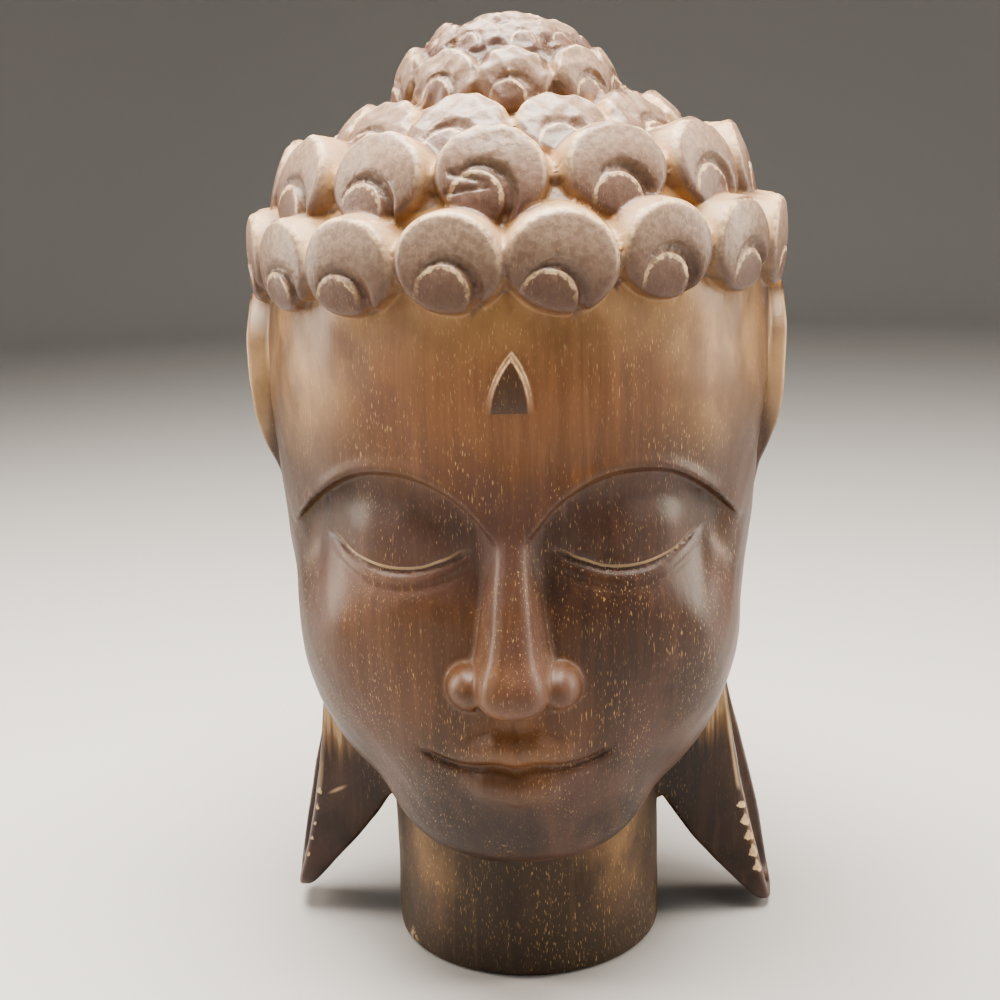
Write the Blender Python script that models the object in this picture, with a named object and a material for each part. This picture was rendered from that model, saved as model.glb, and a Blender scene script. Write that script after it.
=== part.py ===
"""A wooden head carved from one block: rows of snail curls, a topknot, long flaring ears and a round neck.

Metres, +Z up. The face looks along -Y, and the origin is the middle of the neck's flat foot.
The head is one solid. It is described as a distance function that blends the masses and cuts the features
into them, as a carver would, and a closed skin is then laid on that form's surface.
"""

import math

import bmesh
import bpy
import numpy as np

# The neck, a straight round post with an eased lower edge.
NECK_RADIUS = 0.0445
NECK_TOP = 0.095
FOOT_EDGE = 0.0025

# The face in thirds. The brim is where the hair ends on the forehead.
HEAD_HALF_WIDTH = 0.079
CHIN = 0.048
BRIM = 0.220
FACE_THIRD = (BRIM - CHIN) / 3
BROW = CHIN + 2 * FACE_THIRD
NOSE_BASE = CHIN + FACE_THIRD
MOUTH = NOSE_BASE - FACE_THIRD / 3
LASHES = BROW - FACE_THIRD / 4

# The bare head, as ovals with centre and radii.
CRANIUM = ((0, 0.004, 0.186), (HEAD_HALF_WIDTH, 0.080, 0.084))
JAW = ((0, -0.010, 0.122), (0.0705, 0.0655, 0.075))
JAW_SQUARENESS = 2.35
NAPE = ((0, 0.014, 0.150), (0.068, 0.064, 0.092))
CAP = ((0.0012, 0.004, 0.206), (0.0792, 0.0800, 0.0622))
CAP_SQUARENESS = 2.8
KNOT = ((-0.0014, 0.004, 0.2645), (0.0350, 0.0350, 0.0348))
KNOT_SQUARENESS = 2.2

# The edge of the brow, and the socket below it, which fades out towards the cheek.
BROW_ACROSS = (0.000, 0.005, 0.012, 0.022, 0.034, 0.047, 0.058, 0.068)
BROW_RISES = (-0.0130, -0.0085, -0.0005, 0.0062, 0.0090, 0.0066, -0.0012, -0.0120)
SOCKET_DEPTH = 0.0046
SOCKET_HEIGHT = 0.044
BROW_RIDGE = 0.0006

# The closed eye: the lash line where the upper lid ends, the lid's oval, and the lower lid behind it.
LASH_ACROSS = (0.000, 0.012, 0.020, 0.032, 0.044, 0.052, 0.062)
LASH_RISES = (0.0030, 0.0012, -0.0024, -0.0052, -0.0036, 0.0006, 0.0060)
EYE = ((0.0290, -0.0524, LASHES + 0.0036), (0.0220, 0.0142, 0.0142))
EYE_TURN = 24.0
LOWER_LID_BACK = 0.0023
SLIT_DEPTH = 0.0013
FOLD_BELOW = 0.0062
FOLD_DEPTH = 0.0005

# The nose: its ridge and the ridge's half width at a list of heights, then its rounded forms.
NOSE_HEIGHTS = (0.098, 0.104, 0.1115, 0.122, 0.140, 0.158, 0.170)
NOSE_RIDGE = (-0.0860, -0.0902, -0.0915, -0.0888, -0.0826, -0.0762, -0.0700)
NOSE_HALVES = (0.0060, 0.0065, 0.0070, 0.0052, 0.0038, 0.0034, 0.0050)
NOSE_TOP = 0.168
NOSE_BACK = -0.045
NOSE_SLOPE = 0.40
NOSE_TIP = ((0, -0.0812, NOSE_BASE + 0.0066), (0.0094, 0.0098, 0.0080))
NOSE_WING = ((0.0126, -0.0735, NOSE_BASE + 0.0052), (0.0070, 0.0108, 0.0074))
NOSTRIL = ((0.0082, -0.0790, NOSE_BASE - 0.0006), (0.0030, 0.0052, 0.0026))

# The mouth: lips as lines of points with radii, on a raised muzzle.
MUZZLE = ((0, -0.0540, MOUTH + 0.003), (0.034, 0.0215, 0.026))
FURROW = ((0, -0.0790, NOSE_BASE), (0, -0.0796, MOUTH + 0.009))
FURROW_RADII = (0.0022, 0.0036)
UPPER_LIP = (
    (0, -0.0746, MOUTH + 0.0044),
    (0.0050, -0.0749, MOUTH + 0.0059),
    (0.0130, -0.0724, MOUTH + 0.0043),
    (0.0200, -0.0676, MOUTH + 0.0024),
    (0.0262, -0.0618, MOUTH + 0.0024),
)
UPPER_LIP_RADII = (0.0051, 0.0053, 0.0047, 0.0033, 0.0012)
LOWER_LIP = (
    (0, -0.0724, MOUTH - 0.0070),
    (0.0080, -0.0714, MOUTH - 0.0062),
    (0.0160, -0.0678, MOUTH - 0.0032),
    (0.0240, -0.0628, MOUTH + 0.0010),
)
LOWER_LIP_RADII = (0.0066, 0.0062, 0.0044, 0.0014)
PARTING_ACROSS = (0.000, 0.005, 0.013, 0.022, 0.028, 0.034)
PARTING_RISES = (-0.0014, -0.0002, -0.0008, 0.0008, 0.0030, 0.0050)
PARTING_DEPTH = 0.0016
CHIN_BALL = ((0, -0.0500, CHIN + 0.0150), (0.0320, 0.0180, 0.0165))
CHEEK = ((0.034, -0.0410, 0.119), (0.028, 0.0225, 0.032))
CHEEK_TURN = 20.0

# The raised mark on the forehead: a pointed arch of two arcs, which leans a little.
MARK_BASE = 0.1890
MARK_TIP = 0.2064
MARK_HALF = 0.0066
MARK_MIDDLE = 0.0006
MARK_LEAN = 0.065
MARK_ARC = ((MARK_TIP - MARK_BASE) ** 2 - MARK_HALF**2) / (2 * MARK_HALF)
MARK_BEVEL = 0.0016
MARK_FOOT_RAISE = 0.0006
MARK_TIP_RAISE = 0.0027

# Rows of curls. Each is (height the rays leave the axis at, rays' rise, rise that the curls face, both in
# degrees, curls in the round, first curl's bearing in degrees, curl radius). Bearing 0 is the face's middle.
CAP_ROWS = (
    (0.206, 17.6, -1.0, 17, 11.2, 0.0158),
    (0.206, 34.6, 17.0, 13, -2.0, 0.0162),
    (0.206, 50.0, 42.0, 11, 18.8, 0.0150),
)
ROW_LEAN = 0.7
KNOT_ROWS = (
    (0.264, 25.5, 18.0, 9, 5.0, 0.0124),
    (0.264, 53.0, 44.0, 10, 12.0, 0.0080),
    (0.264, 74.0, 66.0, 5, 20.0, 0.0070),
    (0.264, 90.0, 90.0, 1, 0.0, 0.0062),
)
BACK_ROW_HEIGHTS = (0.2085, 0.184, 0.1595, 0.135, 0.111, 0.089)
BACK_CURL_RADIUS = 0.0150
CURL_PITCH = 0.0275
SEED = 11

# One curl, in shares of its radius.
CURL_HALF_HEIGHT = 0.91
CURL_RISE = 0.60
CURL_DOME = 0.12
KNOT_CURL_RISE = 0.27
KNOT_CURL_DOME = 0.17
CURL_SINK = 0.0010
KNOT_CURL_SINK = 0.0004
CURL_RIM = 0.16
CURL_BALL = 0.47
CURL_HOLLOW = 0.60
HOLLOW_OFFSET = (0.14, 0.10)
HOOK_DEPTH = 0.26

# The ears, as seen on the +X side: outer and inner face at a list of heights.
EAR_HEIGHTS = (0.000, 0.008, 0.042, 0.078, 0.100, 0.118, 0.138, 0.158, 0.175, 0.188, 0.204, 0.220)
EAR_OUTER = (0.0850, 0.0836, 0.0778, 0.0702, 0.0676, 0.0700, 0.0742, 0.0785, 0.0834, 0.0850, 0.0862, 0.0866)
EAR_INNER = (0.0828, 0.0772, 0.0490, 0.0320, 0.0320, 0.0320, 0.0320, 0.0320, 0.0320, 0.0320, 0.0320, 0.0320)
EAR_SPLAY = (0.120, 0.130, 0.190, 0.070, 0.050, 0.050, 0.050, 0.050, 0.050, 0.050, 0.050, 0.050)
LOBE_TIP = 0.008
LOBE_HALF_DEPTHS = (0.006, 0.009, 0.0140, 0.0150, 0.0142, 0.0132, 0.0126, 0.0125, 0.0125, 0.012, 0.012, 0.012)
EAR_Y = 0.009
AURICLE = ((EAR_Y + 0.001, 0.187), (0.0245, 0.0305))
EAR_EDGE = 0.0016
EAR_RIM = 0.0042
RIGHT_LOBE_DROP = 0.0060
RIGHT_LOBE_FLARE = 0.0026
LOBE_BEND = 0.085
LOBE_BEND_HEIGHT = 0.060

# The relief on the ear's outer face, as (y, z) points and ovals.
EAR_SUNK = 0.0034
EAR_FOLD = (
    (EAR_Y - 0.008, 0.207),
    (EAR_Y + 0.004, 0.2035),
    (EAR_Y + 0.0105, 0.193),
    (EAR_Y + 0.0095, 0.178),
    (EAR_Y + 0.004, 0.163),
    (EAR_Y, 0.152),
)
EAR_FOLD_RADII = (0.0008, 0.0014, 0.0018, 0.0018, 0.0014, 0.0006)
EAR_BOWL = ((EAR_Y - 0.004, 0.182), (0.0085, 0.0145))
EAR_BOWL_DEPTH = 0.0040
EAR_FLAP = ((EAR_Y - 0.0165, 0.176), (0.0052, 0.0075))


# The grid the first skin is laid on, and the steps to the final one.
BLOCK_LOW = (-0.096, -0.102, -0.004)
BLOCK_HIGH = (0.096, 0.104, 0.310)
FIRST_CELL = 0.0024
FINE_VOXEL = 0.0016
TRIANGLES = 9900
SHARP_DEGREES = 38


# Distances to plain forms: negative inside, positive outside


def length(v):
    return np.sqrt((v * v).sum(axis=-1))


def oval(p, form, power=2.0):
    """An ellipsoid, or with a power above 2 a boxier one whose level sections stay elliptical."""
    centre, radii = np.array(form[0]), np.array(form[1])
    q = (p - centre) / radii
    level = np.hypot(q[:, 0], q[:, 1])
    reach = (level**power + np.abs(q[:, 2]) ** power) ** (1 / power)
    reach = np.maximum(reach, 1e-4)
    return length(p - centre) * (1 - 1 / reach)


def turned_oval(p, form, degrees):
    """An ellipsoid whose first radius is turned from +X towards +Y."""
    d = p - np.array(form[0])
    c, s = math.cos(math.radians(degrees)), math.sin(math.radians(degrees))
    local = np.column_stack([c * d[:, 0] + s * d[:, 1], c * d[:, 1] - s * d[:, 0], d[:, 2]])
    return oval(local, ((0, 0, 0), form[1]))


def rod(p, ends, radii):
    """A round bar from one end to the other, whose radius changes evenly."""
    start, run = np.array(ends[0]), np.subtract(ends[1], ends[0])
    t = np.clip((p - start) @ run / (run @ run), 0, 1)
    return length(p - start - t[:, None] * run) - (radii[0] + t * (radii[1] - radii[0]))


def stroke(p, points, radii):
    """Round bars along a line of points, in space or on a plane."""
    spans = zip(points[:-1], points[1:], radii[:-1], radii[1:])
    return np.minimum.reduce([rod(p, (a, b), (ra, rb)) for a, b, ra, rb in spans])


def post(p, radius, top, edge):
    """An upright round post on the ground, with rounded edges."""
    out = np.hypot(p[:, 0], p[:, 1]) - radius + edge
    up = np.abs(p[:, 2] - top / 2) - top / 2 + edge
    corner = np.hypot(np.maximum(out, 0), np.maximum(up, 0))
    return corner + np.minimum(np.maximum(out, up), 0) - edge


def join(a, b, width):
    """Both forms, with the crease between them filled over the given width."""
    h = np.maximum(width - np.abs(a - b), 0) / width
    return np.minimum(a, b) - h * h * width / 4


def meet(a, b, width):
    """What the two forms share, with the edge between them rounded."""
    return -join(-a, -b, width)


def cut(a, b, width):
    """The first form without the second."""
    return meet(a, -b, width)


def ease(t):
    t = np.clip(t, 0, 1)
    return t * t * (3 - 2 * t)


def bump(distance, width):
    return np.exp(-((distance / width) ** 2))


def smooth_line(knots, values):
    """A function that passes smoothly through the given values at the given knots."""
    knots, values = np.array(knots, float), np.array(values, float)
    slopes = np.gradient(values, knots)

    def at(x):
        i = np.clip(np.searchsorted(knots, x) - 1, 0, len(knots) - 2)
        width = knots[i + 1] - knots[i]
        t = np.clip((x - knots[i]) / width, 0, 1)
        rise = values[i + 1] - values[i]
        start, end = slopes[i] * width, slopes[i + 1] * width
        bend = t * (1 - t) * ((start - rise) * (1 - t) + (rise - end) * t)
        return values[i] + t * rise + bend

    return at


# The bare head and the face


def bare_head(p):
    """Cranium, jaw, nape, hair cap and topknot, before any feature is cut."""
    head = join(oval(p, CRANIUM), oval(p, JAW, JAW_SQUARENESS), 0.022)
    head = join(head, oval(p, NAPE), 0.015)
    head = join(head, oval(p, CAP, CAP_SQUARENESS), 0.006)
    return join(head, oval(p, KNOT, KNOT_SQUARENESS), 0.006)


def folded(p):
    """The points with the left half folded on to the right."""
    return np.column_stack([np.abs(p[:, 0]), p[:, 1], p[:, 2]])


BROW_LINE = smooth_line(BROW_ACROSS, np.array(BROW_RISES) + BROW)
LASH_LINE = smooth_line(LASH_ACROSS, np.array(LASH_RISES) + LASHES)


def facing_front(p, start, fade):
    """1 on the front of the head, falling to 0 towards its sides."""
    return ease((-p[:, 1] - start) / fade)


def brow_and_socket(p, head):
    """Steps the eye socket back under the brow's edge and fades it out towards the cheek."""
    below = BROW_LINE(p[:, 0]) - p[:, 2]
    side = ease((p[:, 0] - 0.001) / 0.009) * ease((0.071 - p[:, 0]) / 0.014)
    depth = ease((below + 0.0006) / 0.0030) * ease((SOCKET_HEIGHT - below) / 0.030) * side
    ridge = bump(below + 0.0016, 0.0022) * side
    return head + facing_front(p, 0.012, 0.020) * (SOCKET_DEPTH * depth - BROW_RIDGE * ridge)


def closed_eye(p, head):
    """A full upper lid that ends at the lash line, over a shallow lower lid."""
    over = LASH_LINE(p[:, 0]) - p[:, 2]
    lid = turned_oval(p, EYE, EYE_TURN)
    lower = lid + LOWER_LID_BACK + 0.12 * np.maximum(over, 0)
    head = join(head, lower, 0.0060)
    head = join(head, meet(lid, over, 0.0008), 0.0022)
    ends = ease((p[:, 0] - 0.010) / 0.006) * ease((0.057 - p[:, 0]) / 0.008)
    slit = SLIT_DEPTH * bump(over - 0.0008, 0.0007)
    fold = FOLD_DEPTH * bump(over - FOLD_BELOW, 0.0011)
    return head + (slit + fold) * ends * facing_front(p, 0.020, 0.015)


def nose(p, head):
    """A straight nose with a flat ridge, a rounded tip and two round wings."""
    behind = p[:, 1] - smooth_line(NOSE_HEIGHTS, NOSE_RIDGE)(p[:, 2])
    side = (p[:, 0] - smooth_line(NOSE_HEIGHTS, NOSE_HALVES)(p[:, 2]) - NOSE_SLOPE * behind) * 0.92
    under = NOSE_BASE + 0.0004 - p[:, 2] - 0.10 * (p[:, 1] + 0.090)
    bridge = meet(meet(side, -behind, 0.0034), under, 0.0060)
    bridge = meet(meet(bridge, p[:, 2] - NOSE_TOP, 0.0060), p[:, 1] - NOSE_BACK, 0.0060)
    form = join(join(bridge, oval(p, NOSE_TIP), 0.0040), oval(p, NOSE_WING), 0.0012)
    return join(head, cut(form, oval(p, NOSTRIL), 0.0012), 0.0018)


def mouth(p, head):
    """Full lips round a softly raised muzzle, with the groove above them."""
    head = join(head, oval(p, MUZZLE), 0.014)
    head = cut(head, rod(p, FURROW, FURROW_RADII), 0.0030)
    head = join(head, stroke(p, UPPER_LIP, UPPER_LIP_RADII), 0.0014)
    head = join(head, stroke(p, LOWER_LIP, LOWER_LIP_RADII), 0.0016)
    off = p[:, 2] - MOUTH - smooth_line(PARTING_ACROSS, PARTING_RISES)(p[:, 0])
    groove = bump(off, 0.0009) * ease((0.0300 - p[:, 0]) / 0.006)
    return head + PARTING_DEPTH * groove * facing_front(p, 0.040, 0.012)


def chin_and_cheeks(p, head):
    return join(join(head, oval(p, CHIN_BALL), 0.022), turned_oval(p, CHEEK, CHEEK_TURN), 0.018)


def mark_outline(p):
    """Distance outside the forehead mark's outline: two arcs that meet in a point over a straight foot."""
    above = p[:, 2] - MARK_BASE
    across = np.abs(p[:, 0] - MARK_MIDDLE - MARK_LEAN * above)
    arcs = np.hypot(across + MARK_ARC, above) - MARK_ARC - MARK_HALF
    return np.maximum(arcs, -above)


def forehead_mark(p, head):
    """A raised arch with a bevelled edge. Its flat face stands out most at the top."""
    outline = mark_outline(p)
    rise = np.clip((p[:, 2] - MARK_BASE) / (MARK_TIP - MARK_BASE), 0, 1)
    raise_here = MARK_FOOT_RAISE + (MARK_TIP_RAISE - MARK_FOOT_RAISE) * rise**0.8
    raised = raise_here * ease(-outline / MARK_BEVEL)
    return head - facing_front(p, 0.040, 0.012) * raised


# The hair


def direction(rise, bearing):
    rise, bearing = math.radians(rise), math.radians(bearing)
    level = math.cos(rise)
    return np.array([math.sin(bearing) * level, -math.cos(bearing) * level, math.sin(rise)])


def skull_point(height, rise, bearing):
    """Where a ray from the head's axis leaves the bare head."""
    away = direction(rise, bearing)
    start = np.array([0, CAP[0][1], height])
    near, far = 0.0, 0.120
    for _ in range(24):
        middle = (near + far) / 2
        inside = bare_head((start + away * middle)[None])[0] < 0
        near, far = (middle, far) if inside else (near, middle)
    return start + away * near


def ear_back(z):
    """Where the ear ends towards the back of the head, at a height."""
    (ear_y, ear_z), (half_y, half_z) = AURICLE
    auricle = half_y * math.sqrt(max(1 - ((z - ear_z) / half_z) ** 2, 0))
    return max(ear_y + auricle, EAR_Y + float(smooth_line(EAR_HEIGHTS, LOBE_HALF_DEPTHS)(z)))


def bearings_behind_ears(height, radius, extra):
    """Evenly spaced bearings from one ear round the back to the other."""
    first = 90.0
    while skull_point(height, 0, first)[1] < ear_back(height) + 0.90 * radius:
        first += 1.0
    girth = skull_point(height, 0, 180)[1] - CAP[0][1] + 0.004
    arc = math.radians(360.0 - 2 * first) * girth
    return np.linspace(first, 360.0 - first, round(arc / CURL_PITCH) + 1 + extra)


def lay_out_curls():
    """Every curl's place, three directions, radius and the knife's own variations."""
    rows = []
    for height, rise, facing, count, first, radius in CAP_ROWS + KNOT_ROWS:
        bearings = [first + k * 360.0 / count for k in range(count)]
        rows.append((height, rise, facing, bearings, radius, 1.0 if height < 0.25 else 2.2))
    for i, height in enumerate(BACK_ROW_HEIGHTS):
        radius = BACK_CURL_RADIUS - 0.0003 * i
        lean = -12.0 * (i / (len(BACK_ROW_HEIGHTS) - 1)) ** 2
        rows.append((height, 0.0, lean, bearings_behind_ears(height, radius, i % 2), radius, 0.8))
    rng = np.random.default_rng(SEED)
    curls = []
    for height, rise, facing, bearings, radius, wander in rows:
        for bearing in bearings:
            draws = rng.uniform(-1, 1, 8)
            climb = rise + 0.6 * wander * draws[0]
            if 0 < rise < 90:
                climb += ROW_LEAN * math.sin(math.radians(bearing))
            place = skull_point(height, climb, bearing + 0.6 * wander * draws[1])
            out = direction(facing + 2.0 * wander * draws[2], bearing + 2.0 * wander * draws[3])
            right = np.cross([0, 0, 1], out) if facing < 89 else np.array([1.0, 0, 0])
            right = right / length(right)
            turn = math.radians(11.0 * wander * draws[4])
            up = np.cross(out, right)
            c, s = math.cos(turn), math.sin(turn)
            axes = np.column_stack([c * right + s * up, c * up - s * right, out])
            curls.append(
                {
                    "place": place,
                    "axes": axes,
                    "radius": radius * (1 + 0.035 * wander * draws[5]),
                    "rise": KNOT_CURL_RISE if height > 0.25 else CURL_RISE,
                    "dome": KNOT_CURL_DOME if height > 0.25 else CURL_DOME,
                    "sink": KNOT_CURL_SINK if height > 0.25 else CURL_SINK,
                    "ball": (-0.10 + 0.10 * draws[6], -0.56 + 0.08 * draws[7]),
                    "depth": HOOK_DEPTH * (1 + 0.35 * draws[0]),
                }
            )
    return curls


def hook(x, y, curl):
    """How deep the gouge is, from 0 to 1: a crescent, steep beside the small ball that it winds over."""
    from_ball = np.hypot(x - curl["ball"][0], y - curl["ball"][1]) - CURL_BALL
    hollow = np.hypot(x - curl["ball"][0] - HOLLOW_OFFSET[0], y - curl["ball"][1] - HOLLOW_OFFSET[1])
    from_rim = CURL_HOLLOW - hollow
    width = np.maximum(from_ball + from_rim, 1e-3)
    across = np.clip(from_ball / width, 0, 1)
    inside = (from_ball > 0) & (from_rim > 0)
    return inside * ease(across / 0.30) * (1 - across) ** 0.8 * np.clip(width / 0.22, 0, 1)


def curl_form(q, curl):
    """One snail curl in its own directions: a drum with steep sides and a hooked, slightly domed face."""
    q = q / curl["radius"]
    around = np.hypot(q[:, 0], q[:, 1] / CURL_HALF_HEIGHT)
    side = around - 1 + 0.10 * q[:, 2]
    face = q[:, 2] - curl["rise"] + curl["dome"] * around**2
    drum = meet(meet(side, face, CURL_RIM), -q[:, 2] - 0.7, 0.2)
    gouge = hook(q[:, 0], q[:, 1], curl)
    return curl["radius"] * (drum + curl["depth"] * gouge * ease((q[:, 2] - 0.02) / 0.16))


def near_curls(p, curls):
    """For each curl, the numbers of the points close to it."""
    found = []
    for curl in curls:
        offset = p - curl["place"]
        reach = 1.5 * curl["radius"] + 0.003
        found.append(np.nonzero((offset * offset).sum(axis=1) < reach * reach)[0])
    return found


def curl_coordinates(p, curl):
    local = (p - curl["place"]) @ curl["axes"]
    local[:, 2] += curl["sink"]
    return local


def hair(p, head, curls, near):
    """Adds the curls. Each is worked out only for the points near it."""
    for curl, at in zip(curls, near):
        if len(at):
            head[at] = join(head[at], curl_form(curl_coordinates(p[at], curl), curl), 0.0011)
    return head


# The ears and the neck


def ear_side_view(p):
    """Distance outside the ear's outline as seen from the side."""
    y, z = p[:, 1], p[:, 2]
    (ear_y, ear_z), (half_y, half_z) = AURICLE
    auricle = (np.hypot((y - ear_y) / half_y, (z - ear_z) / half_z) - 1) * half_y
    lobe = np.abs(y - ear_y) - smooth_line(EAR_HEIGHTS, LOBE_HALF_DEPTHS)(z)
    lobe = meet(lobe, z - ear_z, 0.002)
    return meet(join(auricle, lobe, 0.010), LOBE_TIP - z, 0.006)


def flat_oval(p, form):
    """How far out a point lies in an oval seen from the side: 1 on its edge."""
    (y, z), (half_y, half_z) = form
    return np.hypot((p[:, 1] - y) / half_y, (p[:, 2] - z) / half_z)


def ear_relief(p, outline):
    """How deep the ear's outer face is cut inside its rim."""
    sunk = EAR_SUNK * ease((-outline - EAR_RIM) / 0.0014)
    fold = stroke(p[:, 1:], EAR_FOLD, EAR_FOLD_RADII)
    relief = sunk * (1 - 0.85 * ease(1 - fold / 0.0014))
    relief = relief + EAR_BOWL_DEPTH * ease((1 - flat_oval(p, EAR_BOWL)) / 0.35)
    return relief * (1 - ease((1.25 - flat_oval(p, EAR_FLAP)) / 0.4))


def right_lobe_shift(z, is_right):
    """How far the right lobe's lower part hangs outwards and downwards of the left one's."""
    low = is_right * ease((LOBE_BEND - z) / LOBE_BEND_HEIGHT)
    return np.column_stack([RIGHT_LOBE_FLARE * low, 0 * low, -RIGHT_LOBE_DROP * low])


def ears(p, is_right):
    """A long ear: a rimmed auricle above, and a channelled lobe that leaves the jaw and flares outwards."""
    p = p - right_lobe_shift(p[:, 2], is_right)
    z = p[:, 2]
    half = smooth_line(EAR_HEIGHTS, LOBE_HALF_DEPTHS)
    outer_face = smooth_line(EAR_HEIGHTS, EAR_OUTER)
    outline = ear_side_view(p)
    from_back = np.clip(EAR_Y + half(z) - p[:, 1], 0, 2 * half(z))
    splay = smooth_line(EAR_HEIGHTS, EAR_SPLAY)
    outer = p[:, 0] - outer_face(z) + splay(z) * from_back + ear_relief(p, outline)
    inner = (smooth_line(EAR_HEIGHTS, EAR_INNER)(z) - p[:, 0]) * 0.82
    return meet(meet(outer, inner, EAR_EDGE), outline, EAR_EDGE)


def carved_form(p, curls, near):
    """The whole head as one distance function."""
    right = folded(p)
    head = join(oval(right, CRANIUM), oval(right, JAW, JAW_SQUARENESS), 0.022)
    head = join(head, oval(right, NAPE), 0.015)
    head = chin_and_cheeks(right, head)
    head = brow_and_socket(right, head)
    head = closed_eye(right, head)
    head = mouth(right, head)
    head = nose(right, head)
    head = join(head, oval(p, CAP, CAP_SQUARENESS), 0.006)
    head = join(head, oval(p, KNOT, KNOT_SQUARENESS), 0.006)
    head = forehead_mark(p, head)
    beside = bump(ear_side_view(right) - 0.0012, 0.0020) * ease((right[:, 0] - 0.055) / 0.010)
    head = head + 0.0022 * beside * ease((right[:, 2] - 0.085) / 0.015) * ease((0.205 - right[:, 2]) / 0.02)
    head = join(head, ears(right, p[:, 0] > 0), 0.0020)
    head = join(head, post(right, NECK_RADIUS, NECK_TOP, FOOT_EDGE), 0.0030)
    return hair(p, head, curls, near)


# The meshes


def new_object(name, mesh):
    obj = bpy.data.objects.new(name, mesh)
    bpy.context.scene.collection.objects.link(obj)
    return obj


def evaluated_mesh(obj, name):
    """The object's mesh with its modifiers applied. The object goes."""
    graph = bpy.context.evaluated_depsgraph_get()
    mesh = bpy.data.meshes.new_from_object(obj.evaluated_get(graph))
    mesh.name = name
    bpy.data.objects.remove(obj)
    return mesh


def vertex_array(mesh):
    points = np.empty(len(mesh.vertices) * 3)
    mesh.vertices.foreach_get("co", points)
    return points.reshape(-1, 3)


def first_skin(curls):
    """A closed skin of quads, with a corner in each cell of a grid that the form's surface passes through."""
    axes = [np.arange(low, high, FIRST_CELL) for low, high in zip(BLOCK_LOW, BLOCK_HIGH)]
    grid = np.stack(np.meshgrid(*axes, indexing="ij"), axis=-1).reshape(-1, 3)
    shape = [len(axis) for axis in axes]
    step = (shape[1] * shape[2], shape[2], 1)
    depth = carved_form(grid, curls, near_curls(grid, curls))
    places, cells, quads = [], [], []
    for axis in range(3):
        other, last = (axis + 1) % 3, (axis + 2) % 3
        starts = np.arange(len(grid) - step[axis])
        crossed = starts[(depth[starts] < 0) != (depth[starts + step[axis]] < 0)]
        ends = crossed + step[axis]
        share = depth[crossed] / (depth[crossed] - depth[ends])
        place = grid[crossed] + share[:, None] * (grid[ends] - grid[crossed])
        around = [crossed - step[other] - step[last], crossed - step[last], crossed, crossed - step[other]]
        ring = np.column_stack(around)
        leaving = depth[crossed] < 0
        quads.append(np.where(leaving[:, None], ring, ring[:, ::-1]))
        places.append(np.repeat(place, 4, axis=0))
        cells.append(ring.ravel())
    used, corner = np.unique(np.concatenate(cells), return_inverse=True)
    total = np.column_stack([np.bincount(corner, weights=column) for column in np.concatenate(places).T])
    corners = total / np.bincount(corner)[:, None]
    mesh = bpy.data.meshes.new("first_skin")
    mesh.from_pydata(corners, [], np.searchsorted(used, np.concatenate(quads)))
    mesh.update()
    return mesh


def remeshed(mesh, voxel, name):
    obj = new_object(name, mesh)
    skin = obj.modifiers.new("skin", "REMESH")
    skin.mode = "VOXEL"
    skin.voxel_size = voxel
    return evaluated_mesh(obj, name)


def settle(mesh, curls, rounds, longest):
    """Moves every vertex along the form's slope on to its surface."""
    points = vertex_array(mesh)
    near = near_curls(points, curls)
    step = 0.0001
    for _ in range(rounds):
        here = carved_form(points, curls, near)
        slope = np.column_stack(
            [(carved_form(points + step * axis, curls, near) - here) / step for axis in np.eye(3)]
        )
        steep = np.maximum((slope * slope).sum(axis=1), 0.05)
        move = -(here / steep)[:, None] * slope
        far = np.maximum(length(move) / longest, 1.0)
        points = points + move / far[:, None]
    on_foot = points[:, 2] < 0.0002
    points[on_foot, 2] = 0.0
    mesh.vertices.foreach_set("co", points.ravel())
    mesh.update()


def stained_wood():
    material = bpy.data.materials.new("stained_wood")
    material.use_nodes = True
    shader = material.node_tree.nodes["Principled BSDF"]
    shader.inputs["Base Color"].default_value = (0.105, 0.048, 0.026, 1.0)
    shader.inputs["Roughness"].default_value = 0.40
    shader.inputs["Metallic"].default_value = 0.0
    return material


def fewer_triangles(mesh, limit, name):
    corners = bmesh.new()
    corners.from_mesh(mesh)
    bmesh.ops.triangulate(corners, faces=corners.faces)
    corners.to_mesh(mesh)
    corners.free()
    obj = new_object(name, mesh)
    fewer = obj.modifiers.new("fewer_triangles", "DECIMATE")
    fewer.ratio = limit / len(mesh.polygons)
    return evaluated_mesh(obj, name)


def build_head():
    curls = lay_out_curls()
    rough = first_skin(curls)
    settle(rough, curls, 1, FIRST_CELL)
    skin = remeshed(rough, FINE_VOXEL, "fine_skin")
    settle(skin, curls, 3, FINE_VOXEL)
    mesh = fewer_triangles(skin, TRIANGLES, "buddha_head")
    mesh.materials.append(stained_wood())
    mesh.shade_smooth()
    mesh.set_sharp_from_angle(angle=math.radians(SHARP_DEGREES))
    return new_object("buddha_head", mesh)


def main():
    for obj in list(bpy.data.objects):
        bpy.data.objects.remove(obj)
    build_head()


main()
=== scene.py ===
"""A head carved from one block of wood, finished: its fine carving, stain and varnish, light and camera.

Metres, +Z up. The face looks along -Y and the neck's flat foot stands on the floor at the origin.
"""

import math

import bmesh
import bpy
import numpy as np
from mathutils import Matrix, Vector


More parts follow.
